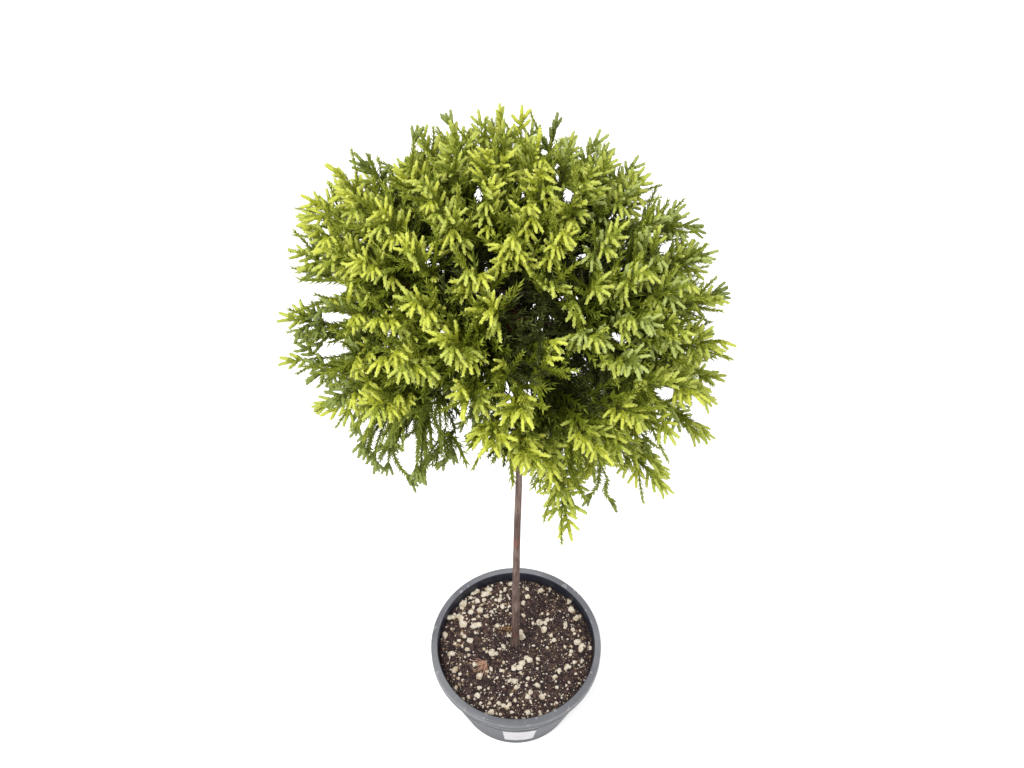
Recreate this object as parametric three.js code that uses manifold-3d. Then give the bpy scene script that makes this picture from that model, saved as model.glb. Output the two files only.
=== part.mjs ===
// A young Japanese cedar trained as a lollipop standard in a round nursery pot: one clear
// stem, boughs that radiate from its head, and a loose ball of foliage in separate masses.
// Millimetres, +Z up, origin at the centre of the pot's flat underside. The front is -Y.
import * as THREE from "three";
import { mergeVertices } from "three/addons/utils/BufferGeometryUtils.js";
import Module from "manifold-3d";

const wasm = await Module();
wasm.setup();

// Driving sizes
const SEED = 4258;
const CLEARANCE = 0.3;
const UP = new THREE.Vector3(0, 0, 1);
const GOLDEN_ANGLE = Math.PI * (3 - Math.sqrt(5));

const POT = {
  height: 190,
  rimRadius: 140,
  footRadius: 100,
  wall: 3,
  floor: 4,
  bandDepth: 21,
  bandStep: 2.6,
  lipWidth: 11,
  lipDepth: 9,
  lipRadius: 3,
  segments: 44,
  drains: { count: 4, radius: 6, ring: 68, sides: 8 },
};

const SOIL = { depthBelowRim: 17, crown: 3 };
const SOIL_TOP = POT.height - SOIL.depthBelowRim;

const TRUNK = {
  foot: [-1, 8, SOIL_TOP + CLEARANCE],
  knee: [0, 9, 480],
  neck: [3, 8, 800],
  tip: [-4, 6, 1170],
  footRadius: 6.2,
  tipRadius: 3.2,
  flare: 1.6,
  flareHeight: 40,
};

const BOUGH = { rootRadius: 2.7, tipRadius: 2.0, arch: 8 };

// The crown is a squashed ball of sprays. A spray's seat is where its blade starts, and the
// seats lie evenly over an ellipsoid a little way inside the crown's surface.
const CROWN = {
  centre: new THREE.Vector3(-9, 0, 1112),
  seatRadius: 176,
  seatRise: 98,
  seats: 180,
  topHeavy: 1.06,
  stemStart: 0.42,
  stemEnd: 0.8,
};

// A spray's blade: shoots in pairs along its rachis, and a leader.
const SPRAY = {
  shoot: 33,
  pairs: 3,
  pitch: 14,
  halfWidth: 4.4,
  halfDepth: 5.2,
  angle: 58,
  closing: 7,
  flutter: 0.9,
  roll: 1.6,
};

const STEM = { radius: 2.0, tipRadius: 1.7, square: 6, bend: 0.12, buds: 13 };
const TWIG = { halfWidth: 1.7, halfDepth: 1.4, knee: 14, forward: 26 };
const SPACE_MARGIN = 1.2;
const BLADE_MARGIN = 9;
const FUSE_TOLERANCE = 1;
const CUT_TOLERANCE = 0.15;

// Where the shoots point: out from a spot under the crown's centre, lifted on top, weeping
// below.
const HEART = new THREE.Vector3(-6, 0, 1040);
const LIFT = 0.12;
const WEEP = { below: 1080, over: 150, most: 1.3 };

// The lobes of the crown, each a mass with its own space. Azimuth is in degrees from the front
// towards the right, elevation is above the crown's middle. reach is the lobe's share of the
// crown's size, drop is how far it hangs, and leaves is the height at which its bough leaves
// the trunk.
const LOBES = [
  { name: "top", azimuth: -170, elevation: 80, reach: 1.0, drop: 0, leaves: null },
  { name: "upper_front", azimuth: -16, elevation: 40, reach: 1.06, drop: 0, leaves: 1094 },
  { name: "upper_right", azimuth: 61, elevation: 38, reach: 0.96, drop: 0, leaves: 1114 },
  { name: "upper_back", azimuth: 133, elevation: 40, reach: 0.87, drop: 8, leaves: 1104 },
  { name: "upper_left_back", azimuth: -155, elevation: 40, reach: 0.97, drop: 8, leaves: 1124 },
  { name: "upper_left", azimuth: -88, elevation: 36, reach: 1.08, drop: 0, leaves: 1109 },
  { name: "front", azimuth: 22, elevation: -2, reach: 0.99, drop: 0, leaves: 1030 },
  { name: "right_front", azimuth: 63, elevation: -4, reach: 1.01, drop: 14, leaves: 1050 },
  { name: "right", azimuth: 107, elevation: 0, reach: 0.94, drop: 24, leaves: 1038 },
  { name: "back", azimuth: 163, elevation: 2, reach: 0.95, drop: 8, leaves: 1060 },
  { name: "left_back", azimuth: -137, elevation: 4, reach: 0.99, drop: 8, leaves: 1044 },
  { name: "left", azimuth: -93, elevation: -4, reach: 1.06, drop: 14, leaves: 1064 },
  { name: "left_front", azimuth: -47, elevation: -4, reach: 1.02, drop: 4, leaves: 1048 },
  { name: "low_front", azimuth: 35, elevation: -36, reach: 1.02, drop: 68, leaves: 984 },
  { name: "low_right", azimuth: 71, elevation: -34, reach: 1.12, drop: 46, leaves: 1006 },
  { name: "low_back", azimuth: 150, elevation: -38, reach: 1.0, drop: 26, leaves: 992 },
  { name: "low_left", azimuth: -126, elevation: -36, reach: 1.0, drop: 34, leaves: 1012 },
  { name: "low_left_front", azimuth: -54, elevation: -34, reach: 1.0, drop: 28, leaves: 998 },
];

// Where the crown is open: a notch under its front, a hollow that looks into its middle, and
// a notch between the two lobes at its left.
const GAPS = [
  { azimuth: -11, elevation: -46, radius: 23 },
  { azimuth: 18, elevation: 16, radius: 11 },
  { azimuth: -94, elevation: -9, radius: 9 },
];

const BARK = new THREE.MeshStandardMaterial({ color: 0x6b5750, roughness: 0.9 });
const POT_GREY = new THREE.MeshStandardMaterial({ color: 0x5c6067, roughness: 0.55 });
const SOIL_BROWN = new THREE.MeshStandardMaterial({ color: 0x3a2f29, roughness: 1.0 });
const FOLIAGE = new THREE.MeshStandardMaterial({ color: 0x9fae3c, roughness: 0.7 });

// Solids and meshes

// A closed three.js geometry as a solid that can be joined and cut.
function solidFrom(geometry) {
  const bare = geometry.index ? geometry.toNonIndexed() : geometry.clone();
  bare.deleteAttribute("normal");
  bare.deleteAttribute("uv");
  const merged = mergeVertices(bare, 1e-4);
  return new wasm.Manifold(
    new wasm.Mesh({
      numProp: 3,
      vertProperties: merged.attributes.position.array,
      triVerts: new Uint32Array(merged.index.array),
    }),
  );
}

// The largest body of a solid as a named mesh.
function meshFrom(solid, name, material) {
  const bodies = solid.decompose();
  bodies.sort((a, b) => b.volume() - a.volume());
  const made = bodies[0].getMesh();
  const geometry = new THREE.BufferGeometry();
  geometry.setAttribute("position", new THREE.BufferAttribute(made.vertProperties, 3));
  geometry.setIndex(new THREE.BufferAttribute(made.triVerts, 1));
  geometry.computeVertexNormals();
  const mesh = new THREE.Mesh(geometry, material);
  mesh.name = name;
  return mesh;
}

// Random numbers from 0 to 1 that are the same in every run.
function makeRandom(seed) {
  let state = seed >>> 0;
  return () => {
    state = (state + 0x6d2b79f5) >>> 0;
    let t = state;
    t = Math.imul(t ^ (t >>> 15), t | 1);
    t ^= t + Math.imul(t ^ (t >>> 7), t | 61);
    return ((t ^ (t >>> 14)) >>> 0) / 4294967296;
  };
}

// A closed tube through places, with a radius at each. Its rings are carried along unturned.
function limbGeometry(places, radii, sides) {
  const geometry = new THREE.CylinderGeometry(1, 1, 1, sides, places.length - 1);
  const heading = places.map((_, i) => {
    const before = places[Math.max(0, i - 1)];
    const after = places[Math.min(places.length - 1, i + 1)];
    return after.clone().sub(before).normalize();
  });
  const start = Math.abs(heading[0].z) > 0.8 ? new THREE.Vector3(1, 0, 0) : UP;
  let side = heading[0].clone().cross(start).normalize();
  const rings = heading.map((direction) => {
    side = side.clone().addScaledVector(direction, -side.dot(direction)).normalize();
    return { side, face: side.clone().cross(direction) };
  });
  const position = geometry.attributes.position;
  for (let i = 0; i < position.count; i++) {
    const ring = Math.round((position.getY(i) + 0.5) * (places.length - 1));
    const place = places[ring]
      .clone()
      .addScaledVector(rings[ring].side, position.getX(i) * radii[ring])
      .addScaledVector(rings[ring].face, position.getZ(i) * radii[ring]);
    position.setXYZ(i, place.x, place.y, place.z);
  }
  return geometry;
}

// Radii that run evenly from one to another over a number of places.
function taper(from, to, count) {
  return Array.from({ length: count }, (_, i) => from + ((to - from) * i) / (count - 1));
}

// Pot and soil

// The wall's radius at a height, outside and inside, below the band under its rim.
function wallRadius(z) {
  const { height, rimRadius, footRadius, bandDepth, bandStep } = POT;
  const bodyTop = rimRadius - bandStep;
  return footRadius + ((bodyTop - footRadius) * z) / (height - bandDepth);
}

function insideRadius(z) {
  return wallRadius(z) - POT.wall;
}

// The wall's outside from the foot up, the broad rounded lip, then the inside to the floor.
function potProfile() {
  const { height, rimRadius, footRadius, floor, bandDepth, lipWidth, lipDepth, lipRadius } = POT;
  const bandFoot = height - bandDepth;
  const lipFoot = height - lipDepth;
  const corner = (radius, degrees) => {
    const a = THREE.MathUtils.degToRad(degrees);
    return [radius + lipRadius * Math.cos(a), height - lipRadius + lipRadius * Math.sin(a)];
  };
  return [
    [0, 0],
    [footRadius - 3, 0],
    [wallRadius(3), 3],
    [wallRadius(bandFoot), bandFoot],
    [rimRadius, bandFoot + 3],
    ...[0, 45, 90].map((degrees) => corner(rimRadius - lipRadius, degrees)),
    ...[90, 180].map((degrees) => corner(rimRadius - lipWidth + lipRadius, degrees)),
    [rimRadius - lipWidth, lipFoot],
    [insideRadius(lipFoot - 4), lipFoot - 4],
    [insideRadius(floor), floor],
    [0, floor],
  ].map(([r, z]) => new THREE.Vector2(r, z));
}

function turned(profile) {
  const geometry = new THREE.LatheGeometry(profile, POT.segments);
  return geometry.rotateX(Math.PI / 2);
}

// The pot's floor is pierced by a ring of drain holes.
function makePot() {
  const { count, radius, ring, sides } = POT.drains;
  const holes = Array.from({ length: count }, (_, i) => {
    const a = (2 * Math.PI * (i + 0.5)) / count;
    const hole = new THREE.CylinderGeometry(radius, radius, POT.floor * 3, sides);
    hole.rotateX(Math.PI / 2).translate(ring * Math.cos(a), ring * Math.sin(a), 0);
    return solidFrom(hole);
  });
  const body = solidFrom(turned(potProfile())).subtract(wasm.Manifold.union(holes));
  return meshFrom(body, "pot", POT_GREY);
}

// Soil fills the pot to a little below its lip, and is kept clear of its wall.
function makeSoil() {
  const foot = POT.floor + CLEARANCE;
  const edge = SOIL_TOP - SOIL.crown;
  const gap = CLEARANCE * 1.5;
  const profile = [
    [0, foot],
    [insideRadius(foot) - gap, foot],
    [insideRadius(edge) - gap, edge],
    [insideRadius(edge) * 0.7, SOIL_TOP],
    [0, SOIL_TOP],
  ].map(([r, z]) => new THREE.Vector2(r, z));
  return meshFrom(solidFrom(turned(profile)), "soil", SOIL_BROWN);
}

// Trunk and boughs

const trunkCurve = new THREE.CatmullRomCurve3(
  [TRUNK.foot, TRUNK.knee, TRUNK.neck, TRUNK.tip].map((p) => new THREE.Vector3(...p)),
);

function trunkRadius(t) {
  const rise = t * (TRUNK.tip[2] - TRUNK.foot[2]);
  const flare = TRUNK.flare * Math.exp(-rise / TRUNK.flareHeight);
  return TRUNK.footRadius + (TRUNK.tipRadius - TRUNK.footRadius) * t + flare;
}

// The trunk's rings crowd towards its foot, where it flares.
function trunkSolid(extra) {
  const steps = Array.from({ length: 13 }, (_, i) => Math.pow(i / 12, 1.4));
  const places = steps.map((t) => trunkCurve.getPoint(t));
  const radii = steps.map((t) => trunkRadius(t) + extra);
  return solidFrom(limbGeometry(places, radii, 12));
}

// The foot of the trunk is cut level, where it stands on the soil.
function makeTrunk() {
  const level = new THREE.BoxGeometry(80, 80, 40);
  level.translate(TRUNK.foot[0], TRUNK.foot[1], TRUNK.foot[2] - 20);
  return meshFrom(trunkSolid(0).subtract(solidFrom(level)), "trunk", BARK);
}

// The point of the trunk's axis at a height.
function trunkAt(height) {
  let low = 0;
  let high = 1;
  for (let i = 0; i < 30; i++) {
    const middle = (low + high) / 2;
    if (trunkCurve.getPoint(middle).z < height) low = middle;
    else high = middle;
  }
  return trunkCurve.getPoint(low);
}

// A direction from its azimuth and elevation in degrees.
function directionAt(azimuth, elevation) {
  const a = THREE.MathUtils.degToRad(azimuth);
  const e = THREE.MathUtils.degToRad(elevation);
  return new THREE.Vector3(Math.sin(a) * Math.cos(e), -Math.cos(a) * Math.cos(e), Math.sin(e));
}

// A place in the crown along a direction, at a share of the way to the seats.
function placeInCrown(direction, share, drop) {
  const { centre, seatRadius, seatRise } = CROWN;
  const place = new THREE.Vector3(seatRadius, seatRadius, seatRise).multiply(direction);
  place.multiplyScalar(share).add(centre);
  place.z -= drop * share;
  return place;
}

// Adds to a lobe its centre, the bough that carries it and the way that its stem sets off.
function placeLobe(lobe) {
  const direction = directionAt(lobe.azimuth, lobe.elevation);
  const along = (share) => placeInCrown(direction, share * lobe.reach, lobe.drop);
  const placed = { ...lobe, direction, centre: along(1), stemEnd: along(CROWN.stemEnd) };
  if (lobe.leaves === null) {
    const entry = trunkCurve.getPoint(1);
    return { ...placed, entry, entryDirection: trunkCurve.getTangent(1), bough: null };
  }
  const entry = along(CROWN.stemStart);
  const root = trunkAt(lobe.leaves);
  root.addScaledVector(entry.clone().sub(root).setZ(0).normalize(), BOUGH.rootRadius);
  const bough = [0, 1, 2, 3].map((i) => {
    const place = root.clone().lerp(entry, i / 3);
    return place.addScaledVector(UP, 4 * BOUGH.arch * (i / 3) * (1 - i / 3));
  });
  const entryDirection = bough[3].clone().sub(bough[2]).normalize();
  return { ...placed, entry, entryDirection, bough };
}

const lobes = LOBES.map(placeLobe);

function makeBough(lobe, fatTrunk) {
  const radii = taper(BOUGH.rootRadius, BOUGH.tipRadius, lobe.bough.length);
  const solid = solidFrom(limbGeometry(lobe.bough, radii, 5));
  const cut = solid.subtract(fatTrunk).simplify(CUT_TOLERANCE);
  return meshFrom(cut, "bough_" + lobe.name, BARK);
}

// Foliage

// A limb as straight stretches, each with its thicker end's radius.
function stretches(places, radii) {
  return places.slice(1).map((to, i) => ({ from: places[i], to, radius: radii[i] }));
}

// What foliage keeps off: the trunk and every bough.
const trunkSteps = Array.from({ length: 25 }, (_, i) => i / 24);
const limbStretches = [
  ...stretches(
    trunkSteps.map((t) => trunkCurve.getPoint(t)),
    trunkSteps.map(trunkRadius),
  ),
  ...lobes
    .filter((lobe) => lobe.bough)
    .flatMap((lobe) =>
      stretches(lobe.bough, taper(BOUGH.rootRadius, BOUGH.tipRadius, lobe.bough.length)),
    ),
];

// The shortest distance between two straight stretches.
function distanceBetween(p, q, r, s) {
  const u = q.clone().sub(p);
  const v = s.clone().sub(r);
  const w = p.clone().sub(r);
  const a = u.dot(u);
  const b = u.dot(v);
  const c = v.dot(v);
  const d = u.dot(w);
  const e = v.dot(w);
  const clamp = (x) => Math.min(1, Math.max(0, x));
  const bottom = a * c - b * b;
  let along = bottom > 1e-9 ? clamp((b * e - c * d) / bottom) : 0;
  const across = clamp((b * along + e) / c);
  along = clamp((b * across - d) / a);
  return p.clone().addScaledVector(u, along).distanceTo(r.clone().addScaledVector(v, across));
}

// Whether a straight piece of some radius stays off every limb.
function clearOfLimbs(from, to, radius) {
  return limbStretches.every(
    (limb) =>
      distanceBetween(from, to, limb.from, limb.to) > limb.radius + radius + CLEARANCE,
  );
}

// Whether a point lies in a lobe's own space: nearer to its centre than to any other's.
function inOwnSpace(lobe, point, margin) {
  return lobes.every((other) => {
    if (other === lobe) return true;
    const between = other.centre.clone().sub(lobe.centre);
    const middle = other.centre.clone().add(lobe.centre).multiplyScalar(0.5);
    return point.clone().sub(middle).dot(between.normalize()) < -margin;
  });
}

// The direction in which a shoot at this place grows.
function growthAt(point) {
  const out = point.clone().sub(HEART).normalize();
  out.z += LIFT;
  const sunk = Math.min(1, Math.max(0, (WEEP.below - point.z) / WEEP.over));
  out.z -= WEEP.most * sunk;
  return out.normalize();
}

function nearest(places, point) {
  return places.reduce((best, place) =>
    place.distanceTo(point) < best.distanceTo(point) ? place : best,
  );
}

// The lobe that a direction from the crown's centre belongs to.
function lobeTowards(direction) {
  return lobes.reduce((best, lobe) =>
    lobe.direction.dot(direction) > best.direction.dot(direction) ? lobe : best,
  );
}

// Moves a place in from the bounds of its lobe's space until it is a margin away from them.
function drawnIn(lobe, place, margin) {
  const moved = place.clone();
  lobes.forEach((other) => {
    if (other === lobe) return;
    const between = other.centre.clone().sub(lobe.centre).normalize();
    const middle = other.centre.clone().add(lobe.centre).multiplyScalar(0.5);
    const over = moved.clone().sub(middle).dot(between) + margin;
    if (over > 0) moved.addScaledVector(between, -over);
  });
  return moved;
}

function inGap(direction) {
  return GAPS.some(({ azimuth, elevation, radius }) => {
    const apart = directionAt(azimuth, elevation).angleTo(direction);
    return apart < THREE.MathUtils.degToRad(radius);
  });
}

// The crown's seats, spiralling down from its top, each with the lobe it belongs to.
function crownSeats() {
  const placed = [];
  for (let i = 0; i < CROWN.seats; i++) {
    const z = 1 - 2 * Math.pow((i + 0.5) / CROWN.seats, CROWN.topHeavy);
    const r = Math.sqrt(1 - z * z);
    const a = i * GOLDEN_ANGLE;
    const direction = new THREE.Vector3(r * Math.cos(a), r * Math.sin(a), z);
    if (inGap(direction)) continue;
    const lobe = lobeTowards(direction);
    const place = placeInCrown(direction, lobe.reach, lobe.drop);
    placed.push({ lobe, place: drawnIn(lobe, place, BLADE_MARGIN) });
  }
  return placed;
}

const seats = crownSeats();

// A mass's stem: it leaves its bough's tip squarely, then bends to its own end.
function stemPlaces(lobe) {
  const start = lobe.entry.clone().addScaledVector(lobe.entryDirection, CLEARANCE);
  const square = start.clone().addScaledVector(lobe.entryDirection, STEM.square);
  const bend = square.clone().lerp(lobe.stemEnd, 0.5);
  bend.addScaledVector(lobe.entryDirection, square.distanceTo(lobe.stemEnd) * STEM.bend);
  return [start, square, bend, lobe.stemEnd];
}

// Places that twigs can spring from, even along a stem.
function stemBuds(stem) {
  const buds = [];
  stem.slice(1, -1).forEach((from, i) => {
    const to = stem[i + 2];
    for (let j = 1; j <= STEM.buds; j++) buds.push(from.clone().lerp(to, j / STEM.buds));
  });
  return buds;
}

// Whether places with a radius round them all keep to a lobe's own space.
function staysInside(lobe, places, radius) {
  return places.every((place) => inOwnSpace(lobe, place, SPACE_MARGIN + radius));
}

// The longest share of a shoot that keeps to its lobe's space and off the limbs.
function shootTip(lobe, root, direction, length) {
  const shares = [1, 0.7, 0.45, 0.25];
  const fits = (share) => {
    const tip = root.clone().addScaledVector(direction, length * share);
    return staysInside(lobe, [tip], 0) && clearOfLimbs(root, tip, SPRAY.halfDepth);
  };
  const share = shares.find(fits) ?? shares[shares.length - 1];
  return root.clone().addScaledVector(direction, length * share);
}

// One spray on its twig. The spray is a toothed blade: a ridged rachis with shoots down both
// sides and one at its end, each a four-sided spike. The twig runs back from it to its bud.
function sprayGeometry(lobe, bud, knee, seat, growth, random) {
  const side = growth.clone().cross(UP);
  if (side.lengthSq() < 1e-4) side.set(1, 0, 0);
  side.normalize().applyAxisAngle(growth, (random() - 0.5) * SPRAY.roll);
  const face = side.clone().cross(growth);
  const at = (along, across, up) =>
    seat
      .clone()
      .addScaledVector(growth, along)
      .addScaledVector(side, across)
      .addScaledVector(face, up);
  const corners = [];
  const add = (place) => corners.push(place) - 1;
  const ridges = [];
  const notches = [];
  const tips = [];
  for (let i = 0; i < SPRAY.pairs; i++) {
    const middle = SPRAY.pitch * (i + 0.5);
    ridges.push([1, -1].map((sign) => add(at(middle, 0, sign * SPRAY.halfDepth))));
  }
  for (let i = 0; i <= SPRAY.pairs; i++) {
    const half = SPRAY.halfWidth * (1 - (0.3 * i) / SPRAY.pairs);
    notches.push([1, -1].map((hand) => add(at(SPRAY.pitch * i, hand * half, 0))));
  }
  for (let i = 0; i < SPRAY.pairs; i++) {
    tips.push(
      [1, -1].map((hand) => {
        const spread = THREE.MathUtils.degToRad(SPRAY.angle - SPRAY.closing * i);
        const direction = growth
          .clone()
          .multiplyScalar(Math.cos(spread))
          .addScaledVector(side, hand * Math.sin(spread))
          .addScaledVector(face, (random() - 0.5) * SPRAY.flutter)
          .normalize();
        const length = SPRAY.shoot * (0.8 + 0.4 * random());
        return add(shootTip(lobe, at(SPRAY.pitch * (i + 0.5), 0, 0), direction, length));
      }),
    );
  }
  const rings = [knee, bud].map((place) =>
    [
      [1, 0],
      [0, 1],
      [-1, 0],
      [0, -1],
    ].map(([across, up]) =>
      add(
        place
          .clone()
          .addScaledVector(side, across * TWIG.halfWidth)
          .addScaledVector(face, up * TWIG.halfDepth),
      ),
    ),
  );
  const end = at(SPRAY.pitch * SPRAY.pairs, 0, 0);
  const leader = add(shootTip(lobe, end, growth, SPRAY.shoot * (0.9 + 0.4 * random())));
  const faces = [];
  [0, 1].forEach((surface) => {
    const put = (a, b, c) => faces.push(...(surface === 0 ? [a, b, c] : [c, b, a]));
    ridges.forEach((pair, i) => {
      const ridge = pair[surface];
      const [right, left] = notches[i];
      const [nextRight, nextLeft] = notches[i + 1];
      put(ridge, right, tips[i][0]);
      put(ridge, tips[i][0], nextRight);
      put(ridge, tips[i][1], left);
      put(ridge, nextLeft, tips[i][1]);
      const next = ridges[i + 1]?.[surface] ?? leader;
      put(ridge, nextRight, next);
      put(ridge, next, nextLeft);
    });
  });
  const base = [notches[0][0], ridges[0][0], notches[0][1], ridges[0][1]];
  [base, ...rings].slice(0, 2).forEach((ring, i) => {
    ring.forEach((corner, j) => {
      const beside = ring[(j + 1) % 4];
      const back = rings[i][j];
      const backBeside = rings[i][(j + 1) % 4];
      faces.push(corner, beside, backBeside, corner, backBeside, back);
    });
  });
  const [a, b, c, d] = rings[1];
  faces.push(a, b, c, a, c, d);
  const geometry = new THREE.BufferGeometry().setFromPoints(corners);
  geometry.setIndex(faces);
  return geometry;
}

// One mass: a stem from its bough's tip, and a twig from the stem to each seat with a spray on
// it, all fused in one solid.
function makeMass(lobe, index) {
  const random = makeRandom(SEED + index);
  const stem = stemPlaces(lobe);
  const buds = stemBuds(stem);
  const pieces = [limbGeometry(stem, taper(STEM.radius, STEM.tipRadius, stem.length), 5)];
  seats.forEach((seat) => {
    if (seat.lobe !== lobe) return;
    const growth = growthAt(seat.place);
    const knee = seat.place.clone().addScaledVector(growth, -TWIG.knee);
    const inwards = knee.clone().sub(lobe.stemEnd).setLength(TWIG.forward);
    const bud = nearest(buds, knee.clone().sub(inwards));
    const end = seat.place.clone().addScaledVector(growth, SPRAY.pitch * SPRAY.pairs);
    if (!staysInside(lobe, [bud, knee], TWIG.halfWidth)) return;
    if (!staysInside(lobe, [seat.place, end], SPRAY.halfDepth)) return;
    if (!clearOfLimbs(bud, knee, TWIG.halfWidth)) return;
    if (!clearOfLimbs(knee, end, SPRAY.halfDepth)) return;
    buds.splice(buds.indexOf(bud), 1);
    pieces.push(sprayGeometry(lobe, bud, knee, seat.place, growth, random));
  });
  const joined = wasm.Manifold.union(pieces.map(solidFrom)).simplify(FUSE_TOLERANCE);
  return meshFrom(joined, "mass_" + lobe.name, FOLIAGE);
}

// Assembly

const plant = new THREE.Group();
const fatTrunk = trunkSolid(CLEARANCE);
plant.add(makePot(), makeSoil(), makeTrunk());
lobes.filter((lobe) => lobe.bough).forEach((lobe) => plant.add(makeBough(lobe, fatTrunk)));
lobes.forEach((lobe, index) => plant.add(makeMass(lobe, index)));

export default plant;
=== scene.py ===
"""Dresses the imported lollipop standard: a golden cedar on one clear stem in a nursery pot.

The frame gives the sizes of pot and soil. The crown grows here by the same rule as the solid
masses do, and is carried on to ropes of old needles and fingers of young ones. Lengths in the
growth rule are millimetres, and every mesh is in metres.
"""

from __future__ import annotations

import logging
from dataclasses import dataclass, field
from enum import Enum
from functools import reduce
from math import cos, exp, hypot, pi, radians, remainder, sin, sqrt

import bpy
import numpy as np
from bpy.types import ID, Material, Mesh, Node, NodeInputs, NodeSocket, NodeTree, Object
from mathutils import Matrix, Vector, noise
from numpy.linalg import norm

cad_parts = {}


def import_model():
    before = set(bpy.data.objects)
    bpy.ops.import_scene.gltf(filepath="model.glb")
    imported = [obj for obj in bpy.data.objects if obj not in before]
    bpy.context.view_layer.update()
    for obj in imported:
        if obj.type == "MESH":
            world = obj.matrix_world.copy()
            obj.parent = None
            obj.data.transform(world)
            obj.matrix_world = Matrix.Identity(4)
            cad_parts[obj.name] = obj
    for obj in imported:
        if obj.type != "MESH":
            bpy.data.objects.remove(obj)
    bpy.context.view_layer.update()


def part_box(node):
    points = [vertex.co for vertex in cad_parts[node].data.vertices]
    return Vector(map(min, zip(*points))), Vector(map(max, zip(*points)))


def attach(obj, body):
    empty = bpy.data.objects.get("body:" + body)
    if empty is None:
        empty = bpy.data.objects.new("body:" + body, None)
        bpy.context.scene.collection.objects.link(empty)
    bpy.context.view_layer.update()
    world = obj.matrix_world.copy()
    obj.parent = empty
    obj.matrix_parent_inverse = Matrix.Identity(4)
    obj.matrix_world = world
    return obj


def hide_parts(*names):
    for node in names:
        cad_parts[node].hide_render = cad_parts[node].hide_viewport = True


LOG = logging.getLogger("plant")
MM = 0.001
SEED = 4258
CLEARANCE = 0.3
GOLDEN_ANGLE = pi * (3 - sqrt(5))
UP = np.array([0.0, 0.0, 1.0])
RIGHT = np.array([1.0, 0.0, 0.0])

Array = np.ndarray
Rgb = tuple[int, int, int]
Rgba = tuple[float, float, float, float]
Place = tuple[float, float, float]
Pair = tuple[float, float]
Feeds = dict


def shade(colour: Rgb) -> Rgba:
    """A colour as the eye reads it, from 0 to 255 a channel, in the linear values of a shader."""
    share = np.array(colour) / 255
    return (*np.where(share <= 0.04045, share / 12.92, ((share + 0.055) / 1.055) ** 2.4), 1.0)


def unit(vector: Array) -> Array:
    """The same direction with a length of one."""
    return vector / max(norm(vector), 1e-12)


# Trees of nodes


def socket_kind(default: object) -> str:
    """The class name of the socket that takes values like a default, None for a geometry."""
    kinds = {int: "Int", float: "Float", str: "Material", tuple: "Color", Vector: "Vector"}
    return f"NodeSocket{kinds.get(type(default), 'Geometry')}"


class TreeWriter:
    """Adds nodes to a tree and joins them, in shader and geometry trees alike."""

    def __init__(self, tree: NodeTree, sizes: Feeds | None = None) -> None:
        """Writes into a tree.

        Args:
            tree: The tree to add to.
            sizes: Its own inputs, by name, and what each is by default.
        """
        self.tree = tree
        for name, default in (sizes or {}).items():
            made = tree.interface.new_socket(name, in_out="INPUT", socket_type=socket_kind(default))
            if default is not None and not isinstance(default, str):
                made.default_value = default
        self.entry = self.node("NodeGroupInput").outputs if sizes else {}

    def feed(self, socket: NodeSocket, value: object) -> None:
        """Gives an input a link, or a plain value.

        Args:
            socket: The input.
            value: A node's output, or a plain value.
        """
        if isinstance(value, NodeSocket):
            self.tree.links.new(value, socket)
        else:
            socket.default_value = value

    def node(self, kind: str, feeds: Feeds | None = None, **settings: object) -> Node:
        """Adds a node.

        Args:
            kind: The node's class name.
            feeds: What its inputs take, by name or number.
            settings: The node's own settings.

        Returns:
            The new node.
        """
        node = self.tree.nodes.new(kind)
        for name, value in settings.items():
            setattr(node, name, value)
        for key, value in (feeds or {}).items():
            self.feed(node.inputs[key], value)
        return node

    def out(self, kind: str, feeds: Feeds, port: object = 0, **settings: object) -> NodeSocket:
        """Adds a node and gives back one of its outputs, by its name or number."""
        return self.node(kind, feeds, **settings).outputs[port]

    def maths(self, operation: str, *terms: object) -> NodeSocket:
        """A sum of two or three terms, each a socket or a number."""
        return self.out("ShaderNodeMath", dict(enumerate(terms)), operation=operation)

    def times(self, *terms: object) -> NodeSocket:
        """The product of a few terms."""
        return reduce(lambda product, term: self.maths("MULTIPLY", product, term), terms)

    def scaled(self, vector: object, scale: object) -> NodeSocket:
        """A vector made longer or shorter."""
        return self.out("ShaderNodeVectorMath", {0: vector, "Scale": scale}, operation="SCALE")

    def end(self, **results: NodeSocket) -> None:
        """Puts named results out of the tree."""
        for name, result in results.items():
            self.tree.interface.new_socket(name, in_out="OUTPUT", socket_type=result.bl_idname)
        self.node("NodeGroupOutput", results)


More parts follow.
